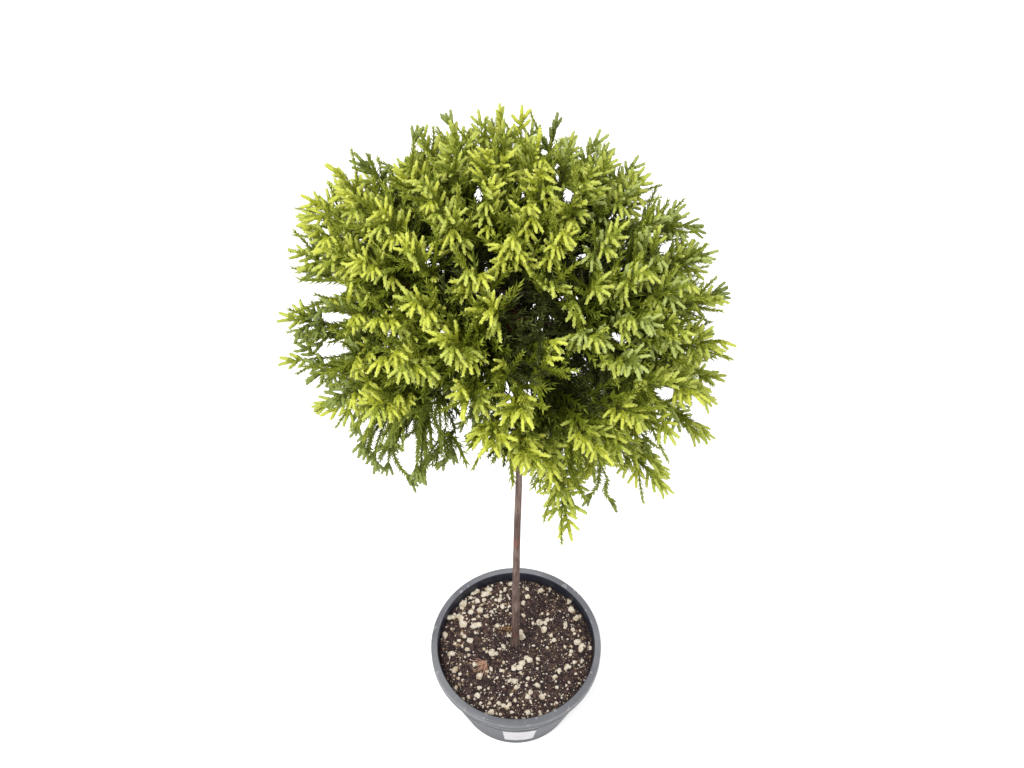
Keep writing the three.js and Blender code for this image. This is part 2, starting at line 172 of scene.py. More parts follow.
class GeometryTree(TreeWriter):
    """A tree that grows a mesh from a mesh, with named inputs for its sizes."""

    def __init__(self, name: str, sizes: Feeds, materials: list[str]) -> None:
        """Makes a tree with inputs for named sizes, whole numbers for counts, and for materials."""
        tree = bpy.data.node_groups.new(name, "GeometryNodeTree")
        super().__init__(tree, {"Geometry": None, **sizes, **dict.fromkeys(materials, "material")})

    def attribute(self, name: str) -> NodeSocket:
        """A number that the mesh carries at each of its points."""
        return self.out("GeometryNodeInputNamedAttribute", {"Name": name}, "Attribute", data_type="FLOAT")

    def chance(self, low: float, high: float, offset: int) -> NodeSocket:
        """A random number for each point, by the tree's seed and an offset of its own."""
        feeds = {2: low, 3: high, "Seed": self.maths("ADD", self.entry["Seed"], offset)}
        return self.out("FunctionNodeRandomValue", feeds, 1, data_type="FLOAT")

    def vector(self, x: object, y: object, z: object) -> NodeSocket:
        """Three numbers as one vector."""
        return self.out("ShaderNodeCombineXYZ", {0: x, 1: y, 2: z})

    def carried(self, geometry: NodeSocket, value: NodeSocket) -> NodeSocket:
        """A geometry that carries a number as how far along its line each point lies."""
        feeds = {"Geometry": geometry, "Name": "along", "Value": value}
        return self.out("GeometryNodeStoreNamedAttribute", feeds, data_type="FLOAT", domain="POINT")

    def body(self, line: NodeSocket, sides: NodeSocket, radius: NodeSocket) -> NodeSocket:
        """A smooth round body along lines, closed at its ends.

        Args:
            line: The lines.
            sides: How many sides it has.
            radius: Its radius at each point.

        Returns:
            The body.
        """
        ring = self.out("GeometryNodeCurvePrimitiveCircle", {"Resolution": sides, "Radius": 1.0})
        feeds = {"Curve": line, "Profile Curve": ring, "Scale": radius, "Fill Caps": True}
        return self.out("GeometryNodeSetShadeSmooth", {0: self.out("GeometryNodeCurveToMesh", feeds)})

    def dressed(self, geometry: NodeSocket, material: str, chosen: object = True) -> NodeSocket:
        """A geometry whose chosen faces take the material of a named input."""
        feeds = {"Geometry": geometry, "Selection": chosen, "Material": self.entry[material]}
        return self.out("GeometryNodeSetMaterial", feeds)

    def grow(self, source: Object, name: str, values: Feeds) -> Object:
        """Grows a plain mesh and clears its source away.

        Args:
            source: The object with the mesh to grow from.
            name: The new object's name.
            values: What the named inputs take.

        Returns:
            The grown object, with no modifier on it.
        """
        modifier = source.modifiers.new("grow", "NODES")
        modifier.node_group = self.tree
        for item in self.tree.interface.items_tree:
            if item.in_out == "INPUT" and item.name in values:
                modifier[item.identifier] = values[item.name]
        mesh = evaluated_mesh(source)
        bpy.data.objects.remove(source)
        for attribute in CARRIED:
            if attribute in mesh.attributes:
                mesh.attributes.remove(mesh.attributes[attribute])
        mesh.name = name
        return shown(name, mesh)


# Meshes

CARRIED = ("along", "girth", "tint", "cover")
ARC_STEPS = 6


def shown(name: str, data: ID) -> Object:
    """A mesh, lamp or camera as an object at the origin of the scene.

    Args:
        name: The object's name.
        data: What it shows.

    Returns:
        The object.
    """
    made = bpy.data.objects.new(name, data)
    bpy.context.scene.collection.objects.link(made)
    return made


def evaluated_mesh(source: Object) -> Mesh:
    """The plain mesh that an object's modifiers make."""
    depsgraph = bpy.context.evaluated_depsgraph_get()
    return bpy.data.meshes.new_from_object(source.evaluated_get(depsgraph))


def mesh_object(name: str, places: Array, faces: list, edges: list | None = None) -> Object:
    """A new mesh as an object at the origin.

    Args:
        name: The object's name.
        places: Its vertices, in metres.
        faces: The vertex numbers of each face.
        edges: The vertex numbers of each loose edge.

    Returns:
        The object.
    """
    mesh = bpy.data.meshes.new(name)
    mesh.from_pydata(np.asarray(places).tolist(), edges or [], faces)
    mesh.validate()
    return shown(name, mesh)


def carry(target: Object, name: str, values: Array) -> None:
    """Stores a number at each vertex."""
    attribute = target.data.attributes.new(name, "FLOAT", "POINT")
    attribute.data.foreach_set("value", np.asarray(values, np.float32))


def smooth(target: Object, angle: float) -> None:
    """Shades a mesh smooth, but for edges sharper than an angle in degrees."""
    target.data.shade_smooth()
    target.data.set_sharp_from_angle(angle=radians(angle))


def grid_faces(rows: int, around: int, closed: bool = True) -> list[tuple[int, ...]]:
    """The four-sided faces of a grid of rings.

    Args:
        rows: How many rings there are.
        around: How many vertices each has.
        closed: Whether each ring closes on itself.

    Returns:
        The faces, which point outwards where the rings rise and turn to the left.
    """
    made = []
    for row in range(rows - 1):
        for i in range(around if closed else around - 1):
            a, b = row * around + i, row * around + (i + 1) % around
            made.append((a, b, b + around, a + around))
    return made


def capped_faces(rows: int, around: int) -> list[tuple[int, ...]]:
    """The faces of rings that a middle vertex closes at their foot, and another at their top.

    Args:
        rows: How many rings there are.
        around: How many vertices each has.

    Returns:
        The faces. The two middles are the vertices that follow the rings.
    """
    foot = rows * around
    last = foot - around
    made = grid_faces(rows, around)
    made += [(foot, (i + 1) % around, i) for i in range(around)]
    made += [(foot + 1, last + i, last + (i + 1) % around) for i in range(around)]
    return made


def circle(count: int) -> Array:
    """Even steps round a circle, in radians."""
    return np.arange(count) * 2 * pi / count


def turned(name: str, profile: list[Pair], around: int) -> Object:
    """A closed shape turned about the upright axis.

    Args:
        name: The object's name.
        profile: Radius and height along its outline, from axis to axis, turning left.
        around: How many steps it has around.

    Returns:
        The object.
    """
    turns = circle(around)
    rings = [(r * np.cos(turns), r * np.sin(turns), np.full(around, z)) for r, z in profile[1:-1]]
    places = [np.stack(ring, -1) for ring in rings]
    ends = [[0, 0, profile[0][1]], [0, 0, profile[-1][1]]]
    return mesh_object(name, np.concatenate([*places, ends]) * MM, capped_faces(len(rings), around))


def arc(centre: Pair, radius: float, first: float, last: float) -> list:
    """Radius and height of points round a corner, between two angles in degrees."""
    angles = [radians(first + (last - first) * i / ARC_STEPS) for i in range(ARC_STEPS + 1)]
    return [(centre[0] + radius * cos(a), centre[1] + radius * sin(a)) for a in angles]


def joined(pieces: list[Object], name: str) -> Object:
    """Several mesh objects as one.

    Args:
        pieces: The objects.
        name: Its name.

    Returns:
        The one object.
    """
    bpy.ops.object.select_all(action="DESELECT")
    for piece in pieces:
        piece.select_set(True)
    bpy.context.view_layer.objects.active = pieces[0]
    bpy.ops.object.join()
    pieces[0].name = pieces[0].data.name = name
    return pieces[0]


def report(piece: Object, slot: str, *replaced: str) -> None:
    """Gives a finished piece to the frame and logs it.

    Args:
        piece: The finished object.
        slot: The slot for its finish; not used.
        replaced: The nodes that it stands for.
    """
    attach(piece, "root")
    if replaced:
        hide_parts(*replaced)
    triangles = sum(len(face.vertices) - 2 for face in piece.data.polygons)
    LOG.info("%s: %d triangles", piece.name, triangles)


# Finishes


def noise_group(name: str, sizes: Feeds, detail: float) -> tuple[TreeWriter, NodeSocket]:
    """Starts a group of shader nodes with a noise in it.

    Args:
        name: The group's name.
        sizes: Its further inputs and their defaults.
        detail: How fine the noise is.

    Returns:
        The group's writer and the noise.
    """
    common = {"Vector": Vector(), "Scale": 100.0, "Stretch": Vector((1, 1, 1))}
    writer = TreeWriter(bpy.data.node_groups.new(name, "ShaderNodeTree"), {**common, **sizes})
    place = {0: writer.entry["Vector"], 1: writer.entry["Stretch"]}
    stretched = writer.out("ShaderNodeVectorMath", place, operation="MULTIPLY")
    feeds = {"Vector": stretched, "Scale": writer.entry["Scale"], "Detail": detail}
    return writer, writer.out("ShaderNodeTexNoise", feeds, "Fac")


def mottle_group() -> None:
    """Makes the group for patches of one colour on another, with soft or hard edges."""
    grey = (0.5, 0.5, 0.5, 1.0)
    writer, cloud = noise_group("mottle", {"Low": 0.4, "High": 0.6, "Base": grey, "Patch": grey}, 4.0)
    edges = {"Value": cloud, "From Min": writer.entry["Low"], "From Max": writer.entry["High"]}
    mask = writer.out("ShaderNodeMapRange", edges, interpolation_type="SMOOTHSTEP")
    colours = {0: mask, 6: writer.entry["Base"], 7: writer.entry["Patch"]}
    writer.end(Color=writer.out("ShaderNodeMix", colours, 2, data_type="RGBA"), Mask=mask)


def relief_group() -> None:
    """Makes the group for a fine uneven surface, which puts out a normal."""
    writer, cloud = noise_group("relief", {"Strength": 0.3, "Distance": 0.0005}, 5.0)
    sizes = {size: writer.entry[size] for size in ("Strength", "Distance")}
    writer.end(Normal=writer.out("ShaderNodeBump", {"Height": cloud, **sizes}))


@dataclass(frozen=True)
class Mottle:
    """A layer of patches: its scale, how hard its edges are, its colour and its upright squeeze."""

    scale: float
    low: float
    high: float
    colour: Rgb
    stretch: float = 1.0


@dataclass(frozen=True)
class Relief:
    """A fine uneven surface: its scale, strength, depth in metres and upright squeeze."""

    scale: float
    strength: float
    distance: float = 0.0005
    stretch: float = 1.0


@dataclass(frozen=True)
class Finish:
    """A surface: a base colour, its shine, layers of patches over it and its relief."""

    name: str
    colour: Rgb
    roughness: float
    mottles: tuple[Mottle, ...] = ()
    relief: Relief | None = None
    rough_spread: float = 0.0
    specular: float = 0.5

    def build(self) -> Material:
        """Makes the material, or finds it where it is made already.

        Returns:
            A node material. With no mottles it is one plain colour, as small needles take it.
        """
        if self.name in bpy.data.materials:
            return bpy.data.materials[self.name]
        material = bpy.data.materials.new(self.name)
        material.use_nodes = True
        material.diffuse_color = shade(self.colour)
        surface = material.node_tree.nodes["Principled BSDF"].inputs
        surface["Base Color"].default_value = shade(self.colour)
        surface["Roughness"].default_value = self.roughness
        surface["Specular IOR Level"].default_value = self.specular
        if self.mottles:
            self.dress(TreeWriter(material.node_tree), surface)
        return material

    def dress(self, writer: TreeWriter, surface: NodeInputs) -> None:
        """Adds the patches and the relief.

        Args:
            writer: The material's tree.
            surface: The inputs of its shader.
        """
        place = writer.out("ShaderNodeTexCoord", {}, "Object")
        colour: object = shade(self.colour)
        for layer in self.mottles:
            patch = self.effect(writer, layer, Vector=place, Base=colour, Patch=shade(layer.colour))
            colour = patch["Color"]
            if layer is self.mottles[0] and self.rough_spread:
                rough = (patch["Mask"], self.rough_spread, self.roughness)
                writer.feed(surface["Roughness"], writer.maths("MULTIPLY_ADD", *rough))
        writer.feed(surface["Base Color"], colour)
        if self.relief:
            writer.feed(surface["Normal"], self.effect(writer, self.relief, Vector=place)["Normal"])

    def effect(self, writer: TreeWriter, layer: Mottle | Relief, **feeds: object) -> object:
        """Adds the group of nodes of a layer's kind.

        Args:
            writer: The material's tree.
            layer: The layer.
            feeds: What its other inputs take.

        Returns:
            The outputs of the group.
        """
        for name, value in vars(layer).items():
            if name != "colour":
                feeds[name.title()] = (1.0, 1.0, value) if name == "stretch" else value
        group = bpy.data.node_groups[type(layer).__name__.lower()]
        return writer.node("ShaderNodeGroup", feeds, node_tree=group).outputs


POT_FINISH = Finish(
    "pot_plastic",
    (72, 74, 79),
    0.42,
    (
        Mottle(9.0, 0.42, 0.68, (86, 88, 92), 3.0),
        Mottle(70.0, 0.58, 0.7, (108, 110, 114), 2.0),
        Mottle(260.0, 0.66, 0.72, (150, 150, 150), 3.0),
    ),
    Relief(420.0, 0.16),
    rough_spread=0.18,
)
# Painted light and wear: the lip is lighter than the wall, as its top catches the light from above, and
# its paler patches are scuffs.
POT_LIP_LIGHT_AND_SCUFFS_FINISH = Finish(
    "pot_lip",
    (102, 103, 108),
    0.5,
    (Mottle(14.0, 0.42, 0.66, (122, 123, 127)), Mottle(90.0, 0.6, 0.7, (150, 150, 153))),
    Relief(420.0, 0.16),
)
# Painted shade: the pot's inside below the lip is a dark navy that stands for the shadow in its mouth,
# with faint patches over it.
POT_INSIDE_SHADE_FINISH = Finish(
    "pot_inside", (38, 41, 53), 0.5, (Mottle(40.0, 0.5, 0.72, (54, 57, 68), 0.4),)
)
SOIL_FINISH = Finish(
    "potting_mix",
    (42, 27, 27),
    0.95,
    (
        Mottle(110.0, 0.46, 0.6, (72, 55, 51)),
        Mottle(420.0, 0.5, 0.62, (18, 12, 14)),
        Mottle(560.0, 0.63, 0.68, (156, 138, 114)),
    ),
    Relief(700.0, 0.9, 0.0012),
)
CRUMB_FINISH = Finish(
    "potting_crumbs",
    (42, 28, 28),
    0.95,
    (Mottle(160.0, 0.42, 0.6, (90, 67, 60)), Mottle(130.0, 0.6, 0.64, (156, 134, 106))),
    Relief(900.0, 0.7, 0.0008),
)
PUMICE_FINISH = Finish(
    "pumice",
    (220, 210, 192),
    0.9,
    (Mottle(120.0, 0.45, 0.7, (188, 168, 134)), Mottle(900.0, 0.6, 0.7, (122, 104, 84))),
    Relief(1100.0, 0.6, 0.0006),
)
BARK_FINISH = Finish(
    "cedar_bark",
    (88, 67, 60),
    0.86,
    (
        Mottle(150.0, 0.42, 0.62, (120, 100, 90), 0.12),
        Mottle(330.0, 0.5, 0.66, (70, 44, 40), 0.08),
        Mottle(40.0, 0.58, 0.72, (122, 74, 62), 0.4),
    ),
    Relief(520.0, 0.6, 0.0007, 0.12),
)
TWIG_FINISH = Finish("green_twigs", (96, 92, 48), 0.75)
LABEL_FINISH = Finish(
    "blank_label",
    (198, 195, 198),
    0.5,
    (Mottle(45.0, 0.5, 0.75, (180, 177, 180)), Mottle(300.0, 0.64, 0.74, (156, 153, 156))),
    Relief(240.0, 0.12),
)
STRAW_FINISH = Finish("dry_fibres", (134, 110, 82), 0.9)
CURL_FINISH = Finish("brown_curls", (132, 98, 58), 0.85)
DEAD_FINISH = Finish("dead_needles", (198, 156, 130), 0.85)


class Tint(Enum):
    """The foliage colours that are dealt out by spray: foot, middle and tip of each shoot."""

    GOLD = ((150, 157, 42), (193, 199, 80), (206, 211, 132))
    LIME = ((132, 143, 44), (181, 189, 84), (200, 207, 132))
    SAGE = ((110, 122, 46), (167, 178, 98), (194, 204, 142))
    GREEN = ((86, 97, 34), (126, 139, 68), (158, 170, 108))
    FRESH = ((106, 115, 26), (134, 144, 42), (156, 165, 62))
    OLIVE = ((76, 86, 18), (98, 109, 28), (118, 130, 42))
    # The darkest green below stands for the shade deep inside the crown and in its hollows: painted shade.
    DEEP = ((50, 56, 18), (64, 72, 26), (84, 92, 42))
    RUST = ((92, 40, 26), (112, 50, 32), (130, 70, 44))


FINGER_TINTS = (Tint.GOLD, Tint.LIME, Tint.SAGE, Tint.GREEN)
ROPE_TINTS = (Tint.FRESH, Tint.OLIVE, Tint.DEEP, Tint.RUST)
ZONES = ("Foot", "Middle", "Tip")


def tint_materials(tints: tuple[Tint, ...]) -> dict[str, Material]:
    """The materials of a family of shoots, by the name of the input that takes each.

    Args:
        tints: The tints in the order of their numbers.

    Returns:
        One plain colour for each zone of each tint.
    """
    made = {}
    for number, tint in enumerate(tints):
        for zone, colour in zip(ZONES, tint.value):
            name = f"needles_{tint.name.lower()}_{zone.lower()}"
            made[f"Tint {number} {zone}"] = Finish(name, colour, 0.6, specular=0.2).build()
    return made


# Growth rule


class SeededRandom:
    """Random numbers from 0 to 1 that are the same in every run."""

    MASK = 0xFFFFFFFF

    def __init__(self, seed: int) -> None:
        """Starts the row of numbers at a seed."""
        self.state = seed & self.MASK

    def __call__(self) -> float:
        """Steps on.

        Returns:
            The next number.
        """
        self.state = (self.state + 0x6D2B79F5) & self.MASK
        t = self.state
        t = ((t ^ (t >> 15)) * (t | 1)) & self.MASK
        t ^= (t + (((t ^ (t >> 7)) * (t | 61)) & self.MASK)) & self.MASK
        return ((t ^ (t >> 14)) & self.MASK) / (self.MASK + 1)


class RoundCurve:
    """A smooth curve through a few places, even where they are unevenly spaced."""

    def __init__(self, places: list[Array]) -> None:
        """Adds a place beyond each end, so that the curve reaches both."""
        self.stretches = len(places) - 1
        self.places = [2 * places[0] - places[1], *places, 2 * places[-1] - places[-2]]

    def point(self, t: float) -> Array:
        """The place at a share of the way.

        Args:
            t: From 0 to 1.

        Returns:
            The place.
        """
        i = min(int(t * self.stretches), self.stretches - 1)
        w = t * self.stretches - i
        p0, p1, p2, p3 = self.places[i : i + 4]
        d0, d1, d2 = (sqrt(norm(b - a)) for a, b in ((p0, p1), (p1, p2), (p2, p3)))
        m1 = ((p1 - p0) / d0 - (p2 - p0) / (d0 + d1) + (p2 - p1) / d1) * d1
        m2 = ((p2 - p1) / d1 - (p3 - p1) / (d1 + d2) + (p3 - p2) / d2) * d1
        bend = -3 * p1 + 3 * p2 - 2 * m1 - m2
        twist = 2 * p1 - 2 * p2 + m1 + m2
        return p1 + m1 * w + bend * w**2 + twist * w**3

    def heading(self, t: float) -> Array:
        """The direction at a share of the way."""
        step = 0.0001
        return unit(self.point(min(1.0, t + step)) - self.point(max(0.0, t - step)))

    def at_height(self, height: float) -> Array:
        """The place of a rising curve that lies at a height.

        Args:
            height: The height in millimetres.

        Returns:
            The place.
        """
        low, high = 0.0, 1.0
        for _ in range(30):
            middle = (low + high) / 2
            low, high = (middle, high) if self.point(middle)[2] < height else (low, middle)
        return self.point(low)


@dataclass(frozen=True)
class TrunkSizes:
    """The trunk's line and its radii, in millimetres."""

    foot: Place = (-1, 8, 173.3)
    knee: Place = (0, 9, 480)
    neck: Place = (3, 8, 800)
    tip: Place = (-4, 6, 1170)
    foot_radius: float = 6.2
    tip_radius: float = 3.2
    flare: float = 1.6
    flare_height: float = 40.0

    def curve(self) -> RoundCurve:
        """The trunk's axis."""
        return RoundCurve([np.array(p, float) for p in (self.foot, self.knee, self.neck, self.tip)])

    def radius(self, t: float) -> float:
        """The radius at a share of the way up."""
        even = self.foot_radius + (self.tip_radius - self.foot_radius) * t
        return even + self.flare * exp(-t * (self.tip[2] - self.foot[2]) / self.flare_height)


@dataclass(frozen=True)
class BoughSizes:
    """Radii and arch of a bough."""

    root_radius: float = 2.7
    tip_radius: float = 2.0
    arch: float = 8.0


@dataclass(frozen=True)
class CrownSizes:
    """The squashed ball that the seats of the sprays lie on."""

    centre: Place = (-9, 0, 1112)
    seat_radius: float = 176.0
    seat_rise: float = 98.0
    seats: int = 180
    top_heavy: float = 1.06
    stem_start: float = 0.42
    stem_end: float = 0.8


@dataclass(frozen=True)
class SpraySizes:
    """A spray's rachis and the shoots down its sides."""

    shoot: float = 33.0
    pairs: int = 3
    pitch: float = 14.0
    half_depth: float = 5.2
    angle: float = 58.0
    closing: float = 7.0
    flutter: float = 0.9
    roll: float = 1.6


@dataclass(frozen=True)
class TwigSizes:
    """A mass's stem and the twigs that leave it."""

    stem_square: float = 6.0
    stem_bend: float = 0.12
    buds: int = 13
    half_width: float = 1.7
    knee: float = 14.0
    forward: float = 26.0
    space_margin: float = 1.2
    blade_margin: float = 9.0


@dataclass(frozen=True)
class Pull:
    """Where shoots point: out from a heart, lifted on top and weeping below."""

    heart: Place = (-6, 0, 1040)
    lift: float = 0.12
    weep_below: float = 1080.0
    weep_over: float = 150.0
    weep_most: float = 1.3

    def sunk(self, place: Array) -> float:
        """How far a place lies in the weeping part, from 0 to 1."""
        return min(1.0, max(0.0, (self.weep_below - place[2]) / self.weep_over))

    def growth(self, place: Array) -> Array:
        """The direction in which a shoot at a place grows."""
        out = unit(place - np.array(self.heart))
        return unit(out + UP * (self.lift - self.weep_most * self.sunk(place)))


@dataclass(eq=False)
class Lobe:
    """One lobe of the crown: where it lies, how far it reaches, what carries it and its tints."""

    name: str
    azimuth: float
    elevation: float
    reach: float
    drop: float
    leaves: float | None
    usual: Tint
    other: Tint
    direction: Array = field(init=False)
    centre: Array = field(init=False)
    stem_end: Array = field(init=False)
    entry: Array = field(init=False)
    entry_direction: Array = field(init=False)
    bough: list[Array] = field(default_factory=list)

    def part(self) -> str:
        """The part of the crown whose pieces hold this lobe's foliage."""
        tier = "upper" if self.elevation > 20 else "middle" if self.elevation > -20 else "low"
        return f"{tier}_{'front' if abs(self.azimuth) < 90 else 'back'}"


LOBES = (
    Lobe("top", -170, 80, 1.0, 0, None, Tint.GOLD, Tint.LIME),
    Lobe("upper_front", -16, 40, 1.06, 0, 1094, Tint.GOLD, Tint.LIME),
    Lobe("upper_right", 61, 38, 0.96, 0, 1114, Tint.LIME, Tint.SAGE),
    Lobe("upper_back", 133, 40, 0.87, 8, 1104, Tint.LIME, Tint.SAGE),
    Lobe("upper_left_back", -155, 40, 0.97, 8, 1124, Tint.LIME, Tint.GOLD),
    Lobe("upper_left", -88, 36, 1.08, 0, 1109, Tint.GOLD, Tint.LIME),
    Lobe("front", 22, -2, 0.99, 0, 1030, Tint.GOLD, Tint.LIME),
    Lobe("right_front", 63, -4, 1.01, 14, 1050, Tint.LIME, Tint.GOLD),
    Lobe("right", 107, 0, 0.94, 24, 1038, Tint.SAGE, Tint.LIME),
    Lobe("back", 163, 2, 0.95, 8, 1060, Tint.SAGE, Tint.GREEN),
    Lobe("left_back", -137, 4, 0.99, 8, 1044, Tint.LIME, Tint.GREEN),
    Lobe("left", -93, -4, 1.06, 14, 1064, Tint.LIME, Tint.GREEN),
    Lobe("left_front", -47, -4, 1.02, 4, 1048, Tint.GOLD, Tint.LIME),
    Lobe("low_front", 35, -36, 1.02, 68, 984, Tint.LIME, Tint.GOLD),
    Lobe("low_right", 71, -34, 1.12, 46, 1006, Tint.LIME, Tint.SAGE),
    Lobe("low_back", 150, -38, 1.0, 26, 992, Tint.GREEN, Tint.SAGE),
    Lobe("low_left", -126, -36, 1.0, 34, 1012, Tint.LIME, Tint.GREEN),
    Lobe("low_left_front", -54, -34, 1.0, 28, 998, Tint.GOLD, Tint.LIME),
)

# Where the crown is open, as azimuth, elevation and radius in degrees: under its front, in the
# hollow that looks into its middle, and between the two lobes at its left.
GAPS = ((-11, -46, 23), (18, 16, 11), (-94, -9, 9))


def direction_at(azimuth: float, elevation: float) -> Array:
    """A direction from its azimuth, from the front towards the right, and its elevation."""
    a, e = radians(azimuth), radians(elevation)
    return np.array([sin(a) * cos(e), -cos(a) * cos(e), sin(e)])


@dataclass
class Spray:
    """A spray of the crown: its twig, its line of growth and its shoots from root to tip."""

    lobe: Lobe
    bud: Array
    knee: Array
    seat: Array
    growth: Array
    end: Array
    side: Array = field(init=False)
    face: Array = field(init=False)
    shoots: list[tuple[Array, Array]] = field(default_factory=list)


@dataclass
class CrownRule:
    """Grows boughs, stems and sprays as the solid masses do."""

    trunk: TrunkSizes = TrunkSizes()
    bough: BoughSizes = BoughSizes()
    crown: CrownSizes = CrownSizes()
    spray: SpraySizes = SpraySizes()
    twig: TwigSizes = TwigSizes()
    pull: Pull = Pull()

    def __post_init__(self) -> None:
        """Places the lobes and gathers the limbs that foliage keeps off."""
        self.axis = self.trunk.curve()
        for lobe in LOBES:
            self.place_lobe(lobe)
        self.directions = np.array([lobe.direction for lobe in LOBES])
        self.centres = np.array([lobe.centre for lobe in LOBES])
        self.limbs = self.gather_limbs()
        self.seats = self.place_seats()

    def place_in_crown(self, direction: Array, share: float, drop: float) -> Array:
        """A place along a direction, at a share of the way to the seats."""
        reach = np.array([self.crown.seat_radius, self.crown.seat_radius, self.crown.seat_rise])
        return reach * direction * share + np.array(self.crown.centre) - UP * (drop * share)

    def place_lobe(self, lobe: Lobe) -> None:
        """Gives a lobe its centre, its bough and the way that its stem sets off.

        Args:
            lobe: The lobe.
        """
        lobe.direction = direction_at(lobe.azimuth, lobe.elevation)
        lobe.centre, lobe.stem_end, lobe.entry = (
            self.place_in_crown(lobe.direction, share * lobe.reach, lobe.drop)
            for share in (1.0, self.crown.stem_end, self.crown.stem_start)
        )
        if lobe.leaves is None:
            lobe.entry = self.axis.point(1.0)
            lobe.entry_direction = self.axis.heading(1.0)
            return
        root = self.axis.at_height(lobe.leaves)
        level = (lobe.entry - root) * np.array([1, 1, 0])
        root = root + unit(level) * self.bough.root_radius
        lobe.bough = [
            root + (lobe.entry - root) * t + UP * (4 * self.bough.arch * t * (1 - t))
            for t in (0, 1 / 3, 2 / 3, 1)
        ]
        lobe.entry_direction = unit(lobe.bough[3] - lobe.bough[2])

    def gather_limbs(self) -> tuple[Array, ...]:
        """Every straight stretch of trunk and boughs.

        Returns:
            Where the stretches start, where they end and how thick they are.
        """
        shares = np.arange(25) / 24
        trunk = [self.axis.point(t) for t in shares]
        even = np.linspace(self.bough.root_radius, self.bough.tip_radius, 4)
        limbs = [(trunk, [self.trunk.radius(t) for t in shares])]
        limbs += [(lobe.bough, even) for lobe in LOBES]
        stretches = [stretch for line, radii in limbs for stretch in zip(line, line[1:], radii)]
        return tuple(np.array(column) for column in zip(*stretches))

    def clear_of_limbs(self, start: Array, end: Array, radius: float) -> bool:
        """Whether a straight piece stays off every limb.

        Args:
            start: Where it starts.
            end: Where it ends.
            radius: How thick it is.

        Returns:
            Whether it is clear of them all.
        """
        starts, ends, radii = self.limbs
        u = end - start
        v = ends - starts
        w = start - starts
        a = u @ u
        b = v @ u
        c = np.einsum("ij,ij->i", v, v)
        d = w @ u
        e = np.einsum("ij,ij->i", v, w)
        bottom = a * c - b * b
        safe = np.where(bottom > 1e-9, bottom, 1.0)
        along = np.where(bottom > 1e-9, np.clip((b * e - c * d) / safe, 0, 1), 0.0)
        across = np.clip((b * along + e) / c, 0, 1)
        along = np.clip((b * across - d) / a, 0, 1)
        gap = (start + along[:, None] * u) - (starts + across[:, None] * v)
        return bool(np.all(norm(gap, axis=1) > radii + radius + CLEARANCE))

    def walls(self, lobe: Lobe) -> tuple[Array, Array]:
        """The planes half way from a lobe to each other one.

        Args:
            lobe: The lobe.

        Returns:
            The planes' normals, and a place on each.
        """
        others = np.array([other.centre for other in LOBES if other is not lobe])
        between = others - lobe.centre
        return between / norm(between, axis=1)[:, None], (others + lobe.centre) / 2

    def stays_inside(self, lobe: Lobe, places: list[Array], radius: float) -> bool:
        """Whether places keep to a lobe's own space.

        Args:
            lobe: The lobe.
            places: The places.
            radius: How far within it they stay.

        Returns:
            Whether all of them do.
        """
        normals, middles = self.walls(lobe)
        gaps = [np.einsum("ij,ij->i", place - middles, normals).max() for place in places]
        return bool(max(gaps) < -(self.twig.space_margin + radius))

    def drawn_in(self, lobe: Lobe, place: Array) -> Array:
        """Moves a place in from the bounds of its lobe's space.

        Args:
            lobe: The lobe.
            place: The place.

        Returns:
            Where it comes to lie.
        """
        for normal, middle in zip(*self.walls(lobe)):
            over = (place - middle) @ normal + self.twig.blade_margin
            place = place - normal * max(0.0, over)
        return place

    def place_seats(self) -> list[tuple[Lobe, Array]]:
        """The seats of the sprays, spiralling down from the top.

        Returns:
            Each seat after its lobe.
        """
        placed = []
        gaps = [(direction_at(a, e), cos(radians(r))) for a, e, r in GAPS]
        for i in range(self.crown.seats):
            z = 1 - 2 * ((i + 0.5) / self.crown.seats) ** self.crown.top_heavy
            r = sqrt(1 - z * z)
            a = i * GOLDEN_ANGLE
            direction = np.array([r * cos(a), r * sin(a), z])
            if any(gap @ direction > edge for gap, edge in gaps):
                continue
            lobe = LOBES[int(np.argmax(self.directions @ direction))]
            place = self.place_in_crown(direction, lobe.reach, lobe.drop)
            placed.append((lobe, self.drawn_in(lobe, place)))
        return placed

    def stem(self, lobe: Lobe) -> list[Array]:
        """A mass's stem: it leaves its bough's tip squarely, then bends to its own end.

        Args:
            lobe: The mass's lobe.

        Returns:
            The places that it passes through.
        """
        start = lobe.entry + lobe.entry_direction * CLEARANCE
        square = start + lobe.entry_direction * self.twig.stem_square
        run = norm(lobe.stem_end - square)
        bend = (square + lobe.stem_end) / 2 + lobe.entry_direction * run * self.twig.stem_bend
        return [start, square, bend, lobe.stem_end]

    def buds(self, stem: list[Array]) -> list[Array]:
        """Places that twigs can spring from, even along a stem."""
        steps = np.arange(1, self.twig.buds + 1) / self.twig.buds
        return [a + (b - a) * t for a, b in zip(stem[1:-1], stem[2:]) for t in steps]

    def shoot_tip(self, lobe: Lobe, root: Array, direction: Array, length: float) -> Array:
        """The tip of the longest share of a shoot that keeps to its space, off the limbs.

        Args:
            lobe: Its lobe.
            root: Where it starts.
            direction: Where it grows to.
            length: How long it would be.

        Returns:
            The tip.
        """
        for share in (1, 0.7, 0.45, 0.25):
            tip = root + direction * length * share
            inside = self.stays_inside(lobe, [tip], 0)
            if inside and self.clear_of_limbs(root, tip, self.spray.half_depth):
                break
        return tip

